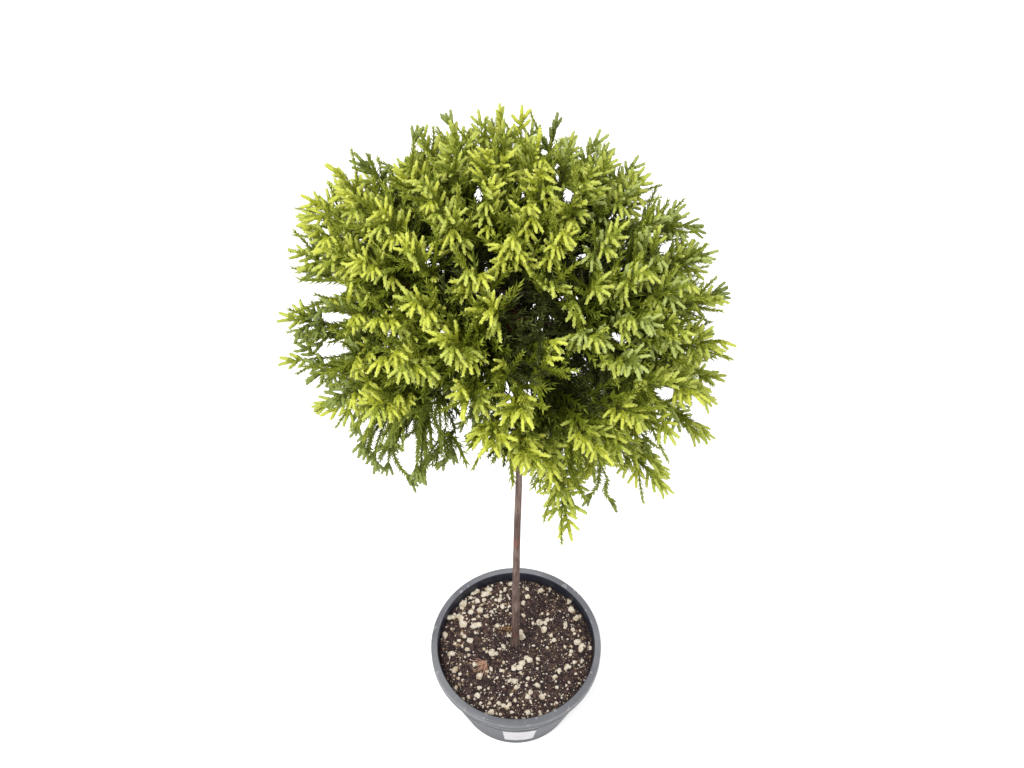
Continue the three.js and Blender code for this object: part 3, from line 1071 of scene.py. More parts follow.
    def grow_shoots(self, spray: Spray, random: SeededRandom) -> None:
        """Gives a spray its side shoots and its leader.

        Args:
            spray: The spray.
            random: The mass's own row of random numbers.
        """
        growth = spray.growth
        side = np.cross(growth, UP)
        side = unit(side) if side @ side >= 1e-4 else RIGHT
        turn = (random() - 0.5) * self.spray.roll
        spray.side = side * cos(turn) + np.cross(growth, side) * sin(turn)
        spray.face = np.cross(spray.side, growth)
        for i in range(self.spray.pairs):
            root = spray.seat + growth * self.spray.pitch * (i + 0.5)
            spread = radians(self.spray.angle - self.spray.closing * i)
            for hand in (1, -1):
                level = growth * cos(spread) + spray.side * hand * sin(spread)
                direction = unit(level + spray.face * (random() - 0.5) * self.spray.flutter)
                length = self.spray.shoot * (0.8 + 0.4 * random())
                spray.shoots.append((root, self.shoot_tip(spray.lobe, root, direction, length)))
        length = self.spray.shoot * (0.9 + 0.4 * random())
        spray.shoots.append((spray.end, self.shoot_tip(spray.lobe, spray.end, growth, length)))

    def sprays(self, lobe: Lobe) -> list[Spray]:
        """Every spray of one mass.

        Args:
            lobe: The mass's lobe.

        Returns:
            The sprays whose twigs and blades keep to their space and off the limbs.
        """
        random = SeededRandom(SEED + LOBES.index(lobe))
        buds = self.buds(self.stem(lobe))
        made = []
        for seat in (seat for owner, seat in self.seats if owner is lobe):
            growth = self.pull.growth(seat)
            knee = seat - growth * self.twig.knee
            aim = knee - unit(knee - lobe.stem_end) * self.twig.forward
            bud = min(buds, key=lambda place: norm(place - aim))
            end = seat + growth * self.spray.pitch * self.spray.pairs
            if (
                self.stays_inside(lobe, [bud, knee], self.twig.half_width)
                and self.stays_inside(lobe, [seat, end], self.spray.half_depth)
                and self.clear_of_limbs(bud, knee, self.twig.half_width)
                and self.clear_of_limbs(knee, end, self.spray.half_depth)
            ):
                buds = [place for place in buds if place is not bud]
                made.append(Spray(lobe, bud, knee, seat, growth, end))
                self.grow_shoots(made[-1], random)
        return made


# Foliage


@dataclass
class Strand:
    """One line of growth: its places in millimetres, how stout it is and its tint's number."""

    places: Array
    girth: Array | float
    tint: int = 0

    def shares(self) -> Array:
        """The share of the way that each place lies at."""
        steps = norm(np.diff(self.places, axis=0), axis=1)
        return np.concatenate([[0.0], np.cumsum(steps)]) / steps.sum()


def line_mesh(strands: list[Strand]) -> Object:
    """Strands as a mesh of loose lines, with what each point carries.

    Args:
        strands: The strands.

    Returns:
        The mesh's object.
    """
    counts = [len(strand.places) for strand in strands]
    starts = np.cumsum([0, *counts[:-1]])
    edges = [(s + i, s + i + 1) for s, n in zip(starts, counts) for i in range(n - 1)]
    made = mesh_object("lines", np.concatenate([strand.places for strand in strands]) * MM, [], edges)
    carry(made, "along", np.concatenate([strand.shares() for strand in strands]))
    girths = [np.broadcast_to(strand.girth, n) for strand, n in zip(strands, counts)]
    carry(made, "girth", np.concatenate(girths))
    carry(made, "tint", np.repeat([strand.tint for strand in strands], counts))
    return made


def needle_tree(name: str, dress: ShootDress) -> GeometryTree:
    """A tree that dresses lines with a core and a spiral of needles.

    Args:
        name: The tree's name.
        dress: Its default sizes, and the tints that it deals out.

    Returns:
        The tree, with its sizes and one material for each zone of each tint as inputs.
    """
    names = [f"Tint {number} {zone}" for number in range(len(dress.tints)) for zone in ZONES]
    tree = GeometryTree(name, dress.sizes(), names)
    size = tree.entry
    line = tree.out("GeometryNodeMeshToCurve", {0: size["Geometry"]})
    along = tree.attribute("along")
    girth = tree.attribute("girth")

    thinned = tree.times(tree.maths("POWER", along, 4.0), size["Core Taper"])
    stout = tree.times(girth, tree.maths("SUBTRACT", 1.0, thinned))
    core = tree.body(line, size["Core Sides"], tree.times(stout, size["Core Radius"]))
    # Partly painted shade: the core takes an earlier, darker zone than its needles, so it reads as the
    # stem and as the shade between the needles.
    core = tree.carried(core, tree.times(along, size["Core Tone"]))

    feeds = {"Curve": line, "Length": size["Spacing"]}
    points = tree.node("GeometryNodeCurveToPoints", feeds, mode="LENGTH").outputs
    number = tree.out("GeometryNodeInputIndex", {})
    closed = tree.maths("SUBTRACT", size["Tip Spread"], size["Foot Spread"])
    spread = tree.maths("MULTIPLY_ADD", along, closed, size["Foot Spread"])
    spread = tree.times(spread, tree.chance(0.75, 1.25, 1))
    turn = tree.maths("MULTIPLY_ADD", number, GOLDEN_ANGLE, tree.chance(-0.3, 0.3, 2))
    around = tree.vector(tree.maths("COSINE", turn), tree.maths("SINE", turn), 0.0)
    outwards = tree.out("FunctionNodeRotateVector", {0: around, 1: points["Rotation"]})
    surface = tree.scaled(outwards, tree.times(stout, tree.times(size["Core Radius"], 0.8)))
    seated = tree.out("GeometryNodeSetPosition", {"Geometry": points["Points"], "Offset": surface})
    speckle = tree.times(tree.chance(-1.0, 1.0, 4), size["Speckle"])
    seated = tree.carried(seated, tree.maths("ADD", along, speckle))
    tilt = tree.out("FunctionNodeEulerToRotation", {0: tree.vector(0.0, spread, turn)})
    feeds = {0: points["Rotation"], 1: tilt}
    aim = tree.out("FunctionNodeRotateRotation", feeds, rotation_space="LOCAL")
    shorter = tree.maths("SUBTRACT", size["Tip Share"], 1.0)
    share = tree.maths("MULTIPLY_ADD", along, shorter, 1.0)
    long = tree.times(share, girth, tree.chance(0.85, 1.15, 3), size["Needle Length"])
    wide = tree.times(girth, size["Needle Width"])
    cone = {"Vertices": 3, "Radius Top": 0.0, "Radius Bottom": 0.577, "Depth": 1.0}
    feeds = {
        "Points": seated,
        "Instance": tree.out("GeometryNodeMeshCone", cone),
        "Rotation": aim,
        "Scale": tree.vector(wide, wide, long),
    }
    together = tree.node("GeometryNodeJoinGeometry")
    tree.feed(together.inputs[0], tree.out("GeometryNodeInstanceOnPoints", feeds))
    tree.feed(together.inputs[0], core)
    whole = tree.out("GeometryNodeRealizeInstances", {0: together.outputs[0]})
    for tint in range(len(dress.tints)):
        off = tree.maths("ABSOLUTE", tree.maths("SUBTRACT", tree.attribute("tint"), float(tint)))
        chosen = tree.maths("LESS_THAN", off, 0.5)
        for zone, edge in zip(ZONES, (None, "Middle From", "Tip From")):
            beyond = tree.maths("GREATER_THAN", along, size[edge]) if edge else 1.0
            whole = tree.dressed(whole, f"Tint {tint} {zone}", tree.times(chosen, beyond))
    tree.end(Geometry=whole)
    return tree


def wood_tree() -> GeometryTree:
    """A tree that gives lines a round body, as thick at each point as its girth in metres.

    Returns:
        The tree.
    """
    tree = GeometryTree("woody_lines", {"Sides": 6}, ["Wood"])
    line = tree.out("GeometryNodeMeshToCurve", {0: tree.entry["Geometry"]})
    body = tree.body(line, tree.entry["Sides"], tree.attribute("girth"))
    real = tree.out("GeometryNodeRealizeInstances", {0: body})
    tree.end(Geometry=tree.dressed(real, "Wood"))
    return tree


@dataclass(frozen=True)
class ShootDress:
    """How a kind of shoot is dressed: lengths in millimetres, spreads in degrees."""

    tints: tuple[Tint, ...] = ()
    core_radius: float = 1.2
    core_sides: int = 3
    core_taper: float = 0.4
    # Below one, the core stays darker than its needles: partly the stem's own colour, partly painted shade
    # between them.
    core_tone: float = 0.3
    needle_length: float = 7.2
    needle_width: float = 1.4
    foot_spread: float = 38.0
    tip_spread: float = 25.0
    tip_share: float = 0.75
    spacing: float = 1.15
    middle_from: float = 0.3
    tip_from: float = 0.75
    speckle: float = 0.2

    def sizes(self) -> Feeds:
        """What the needle tree takes for such shoots, in metres and radians.

        Returns:
            The sizes by the names of the tree's inputs.
        """
        made: Feeds = {"Seed": SEED}
        for name, value in vars(self).items():
            if name in ("core_radius", "needle_length", "needle_width", "spacing"):
                value *= MM
            elif name.endswith("spread"):
                value = radians(value)
            if name != "tints":
                made[name.replace("_", " ").title()] = value
        return made


class Shoot(Enum):
    """The kinds of shoot: young fingers, ropes of old needles, hanging ones and stout inner ones."""

    FINGER = ShootDress(
        FINGER_TINTS,
        core_radius=2.05,
        core_sides=5,
        core_taper=0.3,
        core_tone=0.6,
        needle_length=3.0,
        needle_width=1.7,
        foot_spread=21.0,
        tip_spread=15.0,
        tip_share=0.45,
        spacing=1.2,
        middle_from=0.2,
        tip_from=0.86,
        speckle=0.12,
    )
    ROPE = ShootDress(ROPE_TINTS)
    TASSEL = ShootDress(
        ROPE_TINTS,
        core_taper=0.3,
        needle_width=1.3,
        tip_spread=28.0,
        tip_share=0.8,
        spacing=0.75,
        middle_from=0.2,
        speckle=0.25,
    )
    SHADE = ShootDress(
        ROPE_TINTS,
        core_radius=2.3,
        core_sides=4,
        core_taper=0.5,
        needle_length=10.0,
        needle_width=2.4,
        foot_spread=44.0,
        tip_spread=30.0,
        tip_share=0.8,
        spacing=2.4,
        tip_from=0.8,
    )


@dataclass(frozen=True)
class HandSizes:
    """A hand of fingers at a shoot's end, in millimetres and degrees."""

    leader: float = 20.5
    leader_share: float = 0.66
    overhang: float = 1.2
    pitch: float = 4.7
    share: float = 0.94
    loss: float = 0.04
    spread: float = 54.0
    curl: float = 0.65
    counts: tuple[int, ...] = (3, 3, 3, 4, 4, 4, 5)
    raised: int = 2
    raised_count: int = 5
    rise: float = 44.0
    turned_down: float = 1.5
    arch: float = 0.5


@dataclass(frozen=True)
class RopeRuns:
    """How many ropes stand round a twig, and how long they are in millimetres."""

    inner: int = 4
    outer: int = 4
    shade: int = 8
    length: float = 46.0
    shade_length: float = 56.0
    fill_step: float = 3.1
    trunk: int = 44
    trunk_heights: Pair = (985.0, 1165.0)


@dataclass(frozen=True)
class TasselSizes:
    """Long ropes that hang under the crown and end in a fork, in millimetres."""

    lobes: tuple[str, ...] = ("left_front", "low_left_front")
    count: int = 7
    shortest: float = 24.0
    longest: float = 66.0
    below: float = 1108.0
    left_end: float = -150.0
    deepest: float = -212.0
    deepest_at: float = -110.0
    rise: float = 0.012
    finger: float = 18.0
    tries: int = 8
    long_run: float = 46.0
    depth_share: float = 0.2
    lean: float = 0.55
    bow: float = 7.0
    fork_step: float = 14.0
    reaching_forks: int = 3
    hanging_forks: int = 2


@dataclass(frozen=True)
class Patch:
    """A patch of the crown as the camera sees it, on the plane through its centre.

    It says how far right of the centre its middle is, how far above it, and half its width and
    height, in millimetres.
    """

    across: float
    above: float
    half_width: float
    half_height: float

    def holds(self, sights: Array) -> bool:
        """Whether a line on that plane, or a single point, lies in the patch.

        Args:
            sights: The line's points, one in each row.

        Returns:
            Whether the patch holds any of them or of the places between them.
        """
        steps = np.linspace(0, len(sights) - 1, 4 * len(sights) - 3)
        x, y = (np.interp(steps, np.arange(len(sights)), sights[:, axis]) for axis in (0, 1))
        gap = ((x - self.across) / self.half_width) ** 2 + ((y - self.above) / self.half_height) ** 2
        return bool(np.any(gap < 1))


# Where the sky shows through the crown.
SKY = (
    Patch(-124, 168, 20, 13),
    Patch(64, 113, 7, 8),
    Patch(-35, 112, 6, 8),
    Patch(14, 115, 3, 6),
    Patch(53, 132, 3, 6),
    Patch(129, 57, 3, 8),
    Patch(124, 31, 3, 5),
    Patch(78, 46, 6, 3),
    Patch(78, 28, 5, 2),
    Patch(78, 0, 6, 3),
    Patch(55, -1, 4, 3),
    Patch(46, -22, 2, 7),
    Patch(112, 90, 2, 5),
    Patch(157, 70, 2, 4),
    Patch(151, 4, 5, 2),
    Patch(-208, 10, 28, 9),
    Patch(-195, -22, 12, 8),
    Patch(-195, -58, 18, 8),
    Patch(-108, -149, 6, 17),
    Patch(-83, -133, 5, 24),
    Patch(-45, -132, 5, 15),
    Patch(-17, -194, 18, 18),
    Patch(169, 54, 4, 5),
    Patch(115, -41, 5, 3),
    Patch(170, -104, 12, 6),
    Patch(105, -204, 10, 20),
    Patch(75, -223, 6, 6),
)

# Where old ropes show in the shade and no fingers lie over them.
HOLLOWS = (
    Patch(20, -24, 32, 36),
    Patch(20, -82, 28, 20),
    Patch(99, -107, 15, 24),
    Patch(72, 22, 28, 9),
    Patch(-127, 36, 13, 12),
    Patch(-77, 33, 24, 9),
)

# Where the fingers take a darker green as painted shade, on the crown's lower left.
PAINTED_SHADE = (Patch(-216, -57, 42, 60),)

# Where shoots hang before the crown's under side.
CURTAIN = (Patch(-112, -120, 52, 30),)


@dataclass(frozen=True)
class LongShoot:
    """A long shoot whose end the photograph shows: where it is seen, and whether it hangs."""

    across: float
    above: float
    hangs: bool = False


LONG_SHOOTS = (
    LongShoot(-237, 86),
    LongShoot(-219, 105),
    LongShoot(-194, 129),
    LongShoot(-171, 151),
    LongShoot(-219, -124),
    LongShoot(-177, -157, True),
    LongShoot(-152, -195, True),
    LongShoot(-128, -176, True),
    LongShoot(-106, -215, True),
    LongShoot(-82, -191, True),
    LongShoot(-94, -170, True),
    LongShoot(-76, -157, True),
    LongShoot(-62, -150, True),
    LongShoot(-47, -165, True),
    LongShoot(-36, -152, True),
    LongShoot(-24, -190, True),
    LongShoot(84, -238, True),
    LongShoot(121, -236, True),
    LongShoot(177, -220),
    LongShoot(178, -200),
    LongShoot(225, -160),
    LongShoot(212, -163),
    LongShoot(225, -122),
    LongShoot(244, 6),
    LongShoot(217, 72),
    LongShoot(-72, 207),
    LongShoot(-102, 191),
)


@dataclass(frozen=True)
class Outlook:
    """The photograph's camera: its place in metres, its tilt from straight down and the crown's centre."""

    place: Place = (-0.00658824, -0.9538624, 2.33241003)
    tilt: float = 34.501
    centre: Place = CrownSizes.centre

    def axes(self) -> tuple[Array, Array]:
        """The camera's aim, and the way that is up in the photograph."""
        sine, cosine = sin(radians(self.tilt)), cos(radians(self.tilt))
        return np.array([0, sine, -cosine]), np.array([0, cosine, sine])

    def arch(self, axis: Array) -> Array:
        """How a shoot that grows towards the front and the light arches over, forwards and down."""
        ahead, above = self.axes()
        return -above * max(0.0, -axis @ ahead) ** 2

    def sights(self, places: Array) -> tuple[Array, Array]:
        """Where places are seen on the plane through the crown's centre that faces the camera.

        Args:
            places: The places in millimetres, one in each row.

        Returns:
            How far right of the centre and above it each is seen, and how far before the plane.
        """
        ahead, above = self.axes()
        eye = np.array(self.place) / MM
        middle = np.array(self.centre, float) - eye
        seen = places - eye
        depth = seen @ ahead
        scale = middle @ ahead / depth
        flat = np.stack([seen[:, 0] * scale - middle[0], (seen @ above) * scale - middle @ above], axis=1)
        return flat, middle @ ahead - depth


@dataclass
class Foliage:
    """Carries each spray on to ropes and to hands of fingers, within the spray's own reach."""

    rule: CrownRule
    outlook: Outlook = Outlook()
    hand: HandSizes = HandSizes()
    runs: RopeRuns = RopeRuns()
    tassel: TasselSizes = TasselSizes()

    def __post_init__(self) -> None:
        """Grows every spray of every lobe."""
        self.random = np.random.default_rng(SEED)
        self.centre = np.array(self.rule.crown.centre, float)
        parts = sorted({lobe.part() for lobe in LOBES})
        self.strands: dict = {kind: {part: [] for part in parts} for kind in Shoot}
        self.twigs: list[Strand] = []
        self.roots: list[tuple[str, Array]] = []
        for lobe in LOBES:
            self.add_twig(self.rule.stem(lobe), 2.0, 1.5, 10)
            self.fill_lobe(lobe)
            for spray in self.rule.sprays(lobe):
                self.grow_spray(spray)
        trunk = tuple(self.rule.axis.at_height(height) for height in self.runs.trunk_heights)
        self.grow_ropes(Shoot.SHADE, "middle_front", trunk, UP, self.runs.trunk)
        for shoot in LONG_SHOOTS:
            self.grow_long_shoot(shoot)

    def between(self, low: float, high: float) -> float:
        """A random number between two others."""
        return self.random.uniform(low, high)

    def rounded(self, places: list[Array], count: int) -> Array:
        """A number of places along a smooth curve through some."""
        curve = RoundCurve(places)
        return np.array([curve.point(t) for t in np.linspace(0, 1, count)])

    def add_twig(self, places: list[Array], foot: float, tip: float, count: int) -> None:
        """Adds a bare twig that tapers from one radius to another."""
        self.twigs.append(Strand(self.rounded(places, count), np.linspace(foot, tip, count) * MM))

    def bowed(self, root: Array, direction: Array, bend: Array, length: float, count: int) -> Array:
        """A line that sets off in a direction and bends evenly towards another.

        Args:
            root: Where it starts.
            direction: Where it sets off to.
            bend: What is added to its direction by its end.
            length: How long it is.
            count: How many places it has, closer together towards its end.

        Returns:
            The places.
        """
        t = 1 - (1 - np.linspace(0, 1, count)[:, None]) ** 1.5
        run = direction * t + bend * t**2 / 2
        return root + run * (length / max(norm(run[-1]), 1e-6))

    def seen_in(self, patches: tuple[Patch, ...], places: Array) -> bool:
        """Whether any of some places is seen in any of some patches."""
        sights, _ = self.outlook.sights(places)
        return any(patch.holds(sights) for patch in patches)

    def finger_tint(self, lobe: Lobe, place: Array) -> Tint:
        """The tint of the fingers of a lobe at a place."""
        # Painted shade: fingers seen on the crown's lower left take the darker green.
        in_painted_shade = self.seen_in(PAINTED_SHADE, place[None, :])
        return Tint.GREEN if in_painted_shade else lobe.usual if self.between(0, 1) < 0.66 else lobe.other

    def rope_tint(self, place: Array) -> Tint:
        """The tint of old needles, fresh outside and darker further in, partly their own colour and partly
        painted shade, and darkest as painted shade in a hollow.

        Args:
            place: Where they are.

        Returns:
            The tint.
        """
        out = norm((place - self.centre) / np.array([1, 1, 0.62]))
        if out < 170 and self.between(0, 1) < 0.008:
            return Tint.RUST
        # Painted shade: old needles seen in a hollow take the darkest green.
        if self.seen_in(HOLLOWS, place[None, :]):
            return Tint.DEEP
        # Partly painted shade: the deeper in the crown, the darker the green.
        out += self.between(-28, 28)
        return Tint.FRESH if out > 200 else Tint.OLIVE if out > 158 else Tint.DEEP

    def add(
        self, kind: Shoot, part: str, places: Array, girth: float, tint: Tint, always: bool = False
    ) -> bool:
        """Adds a shoot, unless it would close an opening.

        Args:
            kind: The kind of shoot.
            part: The part of the crown.
            places: Its line.
            girth: How stout it is.
            tint: Its tint.
            always: Whether it is added even over an opening.

        Returns:
            Whether it was added.
        """
        sights, before = self.outlook.sights(places)
        closed = SKY + HOLLOWS if kind is Shoot.FINGER and before[0] > 0 else SKY
        if not always and any(patch.holds(sights) for patch in closed):
            return False
        self.strands[kind][part].append(Strand(places, girth, kind.value.tints.index(tint)))
        return True

    def add_finger(
        self, part: str, line: tuple[Array, Array, Array], length: float, tint: Tint, girth: float = 1.0
    ) -> None:
        """Adds a finger from its root, heading and bend. Its last needles reach past its core."""
        places = self.bowed(*line, max(3.0, length - self.hand.overhang), 4)
        self.add(Shoot.FINGER, part, places, girth * self.between(0.9, 1.1), tint)

    def grow_hand(self, lobe: Lobe, shoot: tuple[Array, Array], face: Array, count: int) -> None:
        """Grows a shoot of a spray: a rope that ends in a hand of fingers.

        Args:
            lobe: Its lobe.
            shoot: Where it leaves the spray's rachis, and its tip.
            face: The normal of the fan that its fingers lie in.
            count: How many fingers it has.
        """
        root, tip = shoot
        part = lobe.part()
        run = norm(tip - root)
        axis = unit(tip - root)
        tint = self.finger_tint(lobe, tip)
        leader = min(self.hand.leader_share * run, self.hand.leader * self.between(0.88, 1.1))
        neck = run - leader
        droop = self.outlook.arch(axis)
        rope = self.bowed(root, axis, np.zeros(3), neck + 4, 2)
        if not self.add(Shoot.ROPE, part, rope, 0.85, self.rope_tint(tip)):
            return
        heading = unit(axis + droop * self.hand.turned_down)
        arch = droop * self.hand.arch
        self.add_finger(part, (root + axis * neck, heading, arch), leader, tint)
        across = unit(np.cross(face, heading))
        normal = np.cross(heading, across)
        hand = 1 if self.between(0, 1) > 0.5 else -1
        for i in range(count - 1):
            start = root + axis * max(0.0, neck + 1 - self.hand.pitch * i)
            length = leader * self.hand.share * (1 - self.hand.loss * i) * self.between(0.9, 1.1)
            lean = self.between(-0.45, 0.45)
            away = across * hand * cos(lean) + normal * sin(lean)
            spread = radians(self.hand.spread + self.between(-7, 7))
            direction = heading * cos(spread) + away * sin(spread)
            self.add_finger(part, (start, direction, heading * self.hand.curl + arch), length, tint)
            hand = -hand

    def raised_shoots(self, spray: Spray) -> list[tuple[tuple[Array, Array], int]]:
        """Further shoots that rise from a spray's upper side.

        Args:
            spray: The spray.

        Returns:
            The root and tip of each, and its count of fingers.
        """
        made = []
        lean = radians(self.hand.rise)
        for i in range(self.hand.raised):
            root = spray.seat + spray.growth * self.rule.spray.pitch * (i + self.between(-0.3, 0.5))
            turn = self.between(-1.1, 1.1)
            rise = spray.face * cos(turn) + spray.side * sin(turn)
            direction = unit(spray.growth * cos(lean) + rise * sin(lean))
            length = self.rule.spray.shoot * self.between(0.75, 0.98)
            tip = self.rule.shoot_tip(spray.lobe, root, direction, length)
            made.append(((root, tip), self.hand.raised_count))
        return made

    def grow_spray(self, spray: Spray) -> None:
        """Grows one spray: its twig, its rachis, its hands or tassels and the ropes inside them.

        Args:
            spray: The spray.
        """
        part = spray.lobe.part()
        bud, seat, end = spray.bud, spray.seat, spray.end
        self.add_twig([bud, spray.knee, seat, end], 1.5, 0.8, 12)
        rachis = self.twigs[-1].places[2:]
        self.add(Shoot.ROPE, part, rachis, 1.0, self.rope_tint(seat), always=True)
        self.roots += [(part, place) for place in (seat, (seat + end) / 2, end)]
        if self.hangs(spray):
            self.grow_tassels(spray)
        else:
            outwards = unit(seat - self.centre)
            for shoot, count in [*zip(spray.shoots, self.hand.counts), *self.raised_shoots(spray)]:
                loose = self.random.normal(0, 0.35, 3)
                self.grow_hand(spray.lobe, shoot, outwards + UP + loose, count)
            self.grow_ropes(Shoot.ROPE, part, (seat, end), spray.growth, self.runs.outer)
        self.grow_ropes(Shoot.ROPE, part, (bud, seat), spray.growth, self.runs.inner)
        self.grow_ropes(Shoot.SHADE, part, (bud, seat), spray.growth, self.runs.shade)

    def hangs(self, spray: Spray) -> bool:
        """Whether a spray is one of those under the left front that hang as tassels.

        Args:
            spray: The spray.

        Returns:
            Whether it hangs.
        """
        tip = spray.shoots[-1][1]
        if tip[1] < 0 and self.seen_in(CURTAIN, tip[None, :]):
            return True
        low = spray.seat[2] < self.tassel.below and spray.seat[0] > self.tassel.left_end
        return bool(low and spray.lobe.name in self.tassel.lobes)

    def tassel_line(self, spray: Spray, root: Array) -> Array:
        """A line that hangs from a spray, no lower than the photograph's tassels end.

        Args:
            spray: The spray.
            root: Where the line leaves it.

        Returns:
            The line's places.
        """
        way = unit(spray.growth + spray.side * self.between(-0.7, 0.7))
        length = self.between(self.tassel.shortest, self.tassel.longest)
        while True:
            places = self.bowed(root, way, UP * -2.2, length, 9)
            across, above = self.outlook.sights(places[-1:])[0][0]
            lowest = self.tassel.deepest + self.tassel.rise * (across - self.tassel.deepest_at) ** 2
            if above > lowest + self.tassel.finger or length < self.tassel.finger:
                return places
            length *= 0.85

    def grow_tassels(self, spray: Spray) -> None:
        """Hangs short ropes from a spray, some of which end in a small fork.

        Args:
            spray: The spray.
        """
        part = spray.lobe.part()
        for i in range(self.tassel.count):
            root = spray.knee + (spray.end - spray.knee) * (i + self.between(0, 0.8)) / self.tassel.count
            for _ in range(self.tassel.tries):
                places = self.tassel_line(spray, root)
                if not self.seen_in(SKY, places):
                    break
            tint = Tint.FRESH if self.between(0, 1) < 0.4 else Tint.OLIVE
            if self.add(Shoot.TASSEL, part, places, 0.95, tint) and self.between(0, 1) < 0.4:
                self.fork(part, places, len(places) - 1, (0, 1, -1), Tint.GREEN)

    def fork(self, part: str, places: Array, at: int, hands: tuple[int, ...], tint: Tint) -> None:
        """Grows slim fingers from a line.

        Args:
            part: The part of the crown.
            places: The line.
            at: Which of its places they leave it at.
            hands: For each finger, the side that it leans to, or 0 for straight on.
            tint: Their tint.
        """
        heading = unit(places[at] - places[at - 1])
        ahead, _ = self.outlook.axes()
        aside = unit(np.cross(heading, ahead + self.random.normal(0, 0.4, 3)))
        for hand in hands:
            direction = unit(heading + aside * self.tassel.lean * hand)
            length = self.tassel.finger * self.between(0.85, 1.15)
            self.add_finger(part, (places[at], direction, heading * 0.7), length, tint, 0.9)

    def long_root(self, shoot: LongShoot) -> tuple[str, Array, Array]:
        """Finds where a long shoot leaves the crown.

        Args:
            shoot: The long shoot.

        Returns:
            The part of the crown, the root, and how the shoot runs across and above from there.
        """
        places = np.array([place for _, place in self.roots])
        sights, before = self.outlook.sights(places)
        end = np.array([shoot.across, shoot.above])
        run = end - sights
        if shoot.hangs:
            misfit = np.abs(run[:, 0]) + np.abs(run[:, 1] + self.tassel.long_run)
        else:
            length = norm(run, axis=1)
            misfit = np.abs(length - self.tassel.long_run) + 60 * (1 - run @ unit(end) / length)
        chosen = int(np.argmin(misfit + self.tassel.depth_share * np.abs(before)))
        return self.roots[chosen][0], places[chosen], run[chosen]

    def grow_long_shoot(self, shoot: LongShoot) -> None:
        """Grows a long shoot from the crown to its end, with forks of fingers along its last part.

        Args:
            shoot: The long shoot.
        """
        part, root, run = self.long_root(shoot)
        _, above = self.outlook.axes()
        fall = UP / (UP @ above) if shoot.hangs else above
        end = root + RIGHT * run[0] + fall * run[1]
        bow = -RIGHT * np.sign(run[0]) if shoot.hangs else UP
        middle = (root + end) / 2 + bow * self.tassel.bow
        places = self.rounded([root, middle, end - unit(end - middle) * self.tassel.finger], 14)
        # Painted shade: hanging shoots under the middle of the crown take the darker olive tint.
        dark = shoot.hangs and -100 < shoot.across < 0
        self.add(Shoot.TASSEL, part, places, 1.15, Tint.OLIVE if dark else Tint.FRESH, always=True)
        green = shoot.hangs or part.endswith("back") and self.between(0, 1) < 0.5
        step = norm(places[1] - places[0])
        for i in range(self.tassel.hanging_forks if shoot.hangs else self.tassel.reaching_forks):
            at = max(2, 13 - round(i * self.tassel.fork_step / step))
            tint = Tint.GREEN if green else Tint.LIME
            self.fork(part, places, at, (1, -1) if i else (0, 1, -1), tint)

    def grow_ropes(
        self, kind: Shoot, part: str, stretch: tuple[Array, Array], growth: Array, count: int
    ) -> None:
        """Sets ropes of old needles round a stretch of wood.

        Args:
            kind: The kind of rope.
            part: The part of the crown.
            stretch: Where the stretch starts and ends.
            growth: The way that the shoots there grow.
            count: How many ropes there are.
        """
        foot, top = stretch
        run = top - foot
        axis = unit(run)
        away = unit(np.cross(axis, np.array([0.31, 0.17, 0.93])))
        beside = np.cross(axis, away)
        phase = self.between(0, 2 * pi)
        longest = self.runs.shade_length if kind is Shoot.SHADE else self.runs.length
        for i in range(count):
            turn = phase + i * GOLDEN_ANGLE + self.between(-0.4, 0.4)
            root = foot + run * (i + 0.5) / count
            out = away * cos(turn) + beside * sin(turn)
            direction = unit(axis * 0.8 + out)
            sunk = self.rule.pull.sunk(root)
            bend = growth * 0.8 - UP * (0.25 + 0.6 * sunk)
            places = self.bowed(root, direction, bend, longest * self.between(0.7, 1.1), 5)
            if self.rule.clear_of_limbs(places[1], places[-1], 2.0):
                self.add(kind, part, places, 1.0, self.rope_tint(places[-1]))

    def fill_lobe(self, lobe: Lobe) -> None:
        """Sets dark ropes along a lobe's bough and stem, where twigs are few.

        Args:
            lobe: The lobe.
        """
        line = [*lobe.bough[1:], *self.rule.stem(lobe)]
        for foot, top in zip(line[:-1], line[1:]):
            count = int(norm(top - foot) / self.runs.fill_step)
            growth = self.rule.pull.growth(top)
            self.grow_ropes(Shoot.SHADE, lobe.part(), (foot, top), growth, count)

    def build(self) -> None:
        """Dresses the strands and the bare twigs and gives every piece to the frame."""
        for kind, strands in self.strands.items():
            plural = f"{kind.name.lower()}s"
            tree = needle_tree(plural, kind.value)
            values = {**kind.value.sizes(), **tint_materials(kind.value.tints)}
            for part in (part for part in strands if strands[part]):
                masses = [f"mass_{lobe.name}" for lobe in LOBES if lobe.part() == part]
                piece = tree.grow(line_mesh(strands[part]), f"{plural}_{part}", values)
                report(piece, "foliage", *(masses if kind is Shoot.FINGER else ()))
        values = {"Sides": 5, "Wood": TWIG_FINISH.build()}
        report(wood_tree().grow(line_mesh(self.twigs), "twigs", values), "bark")


# Trunk and boughs


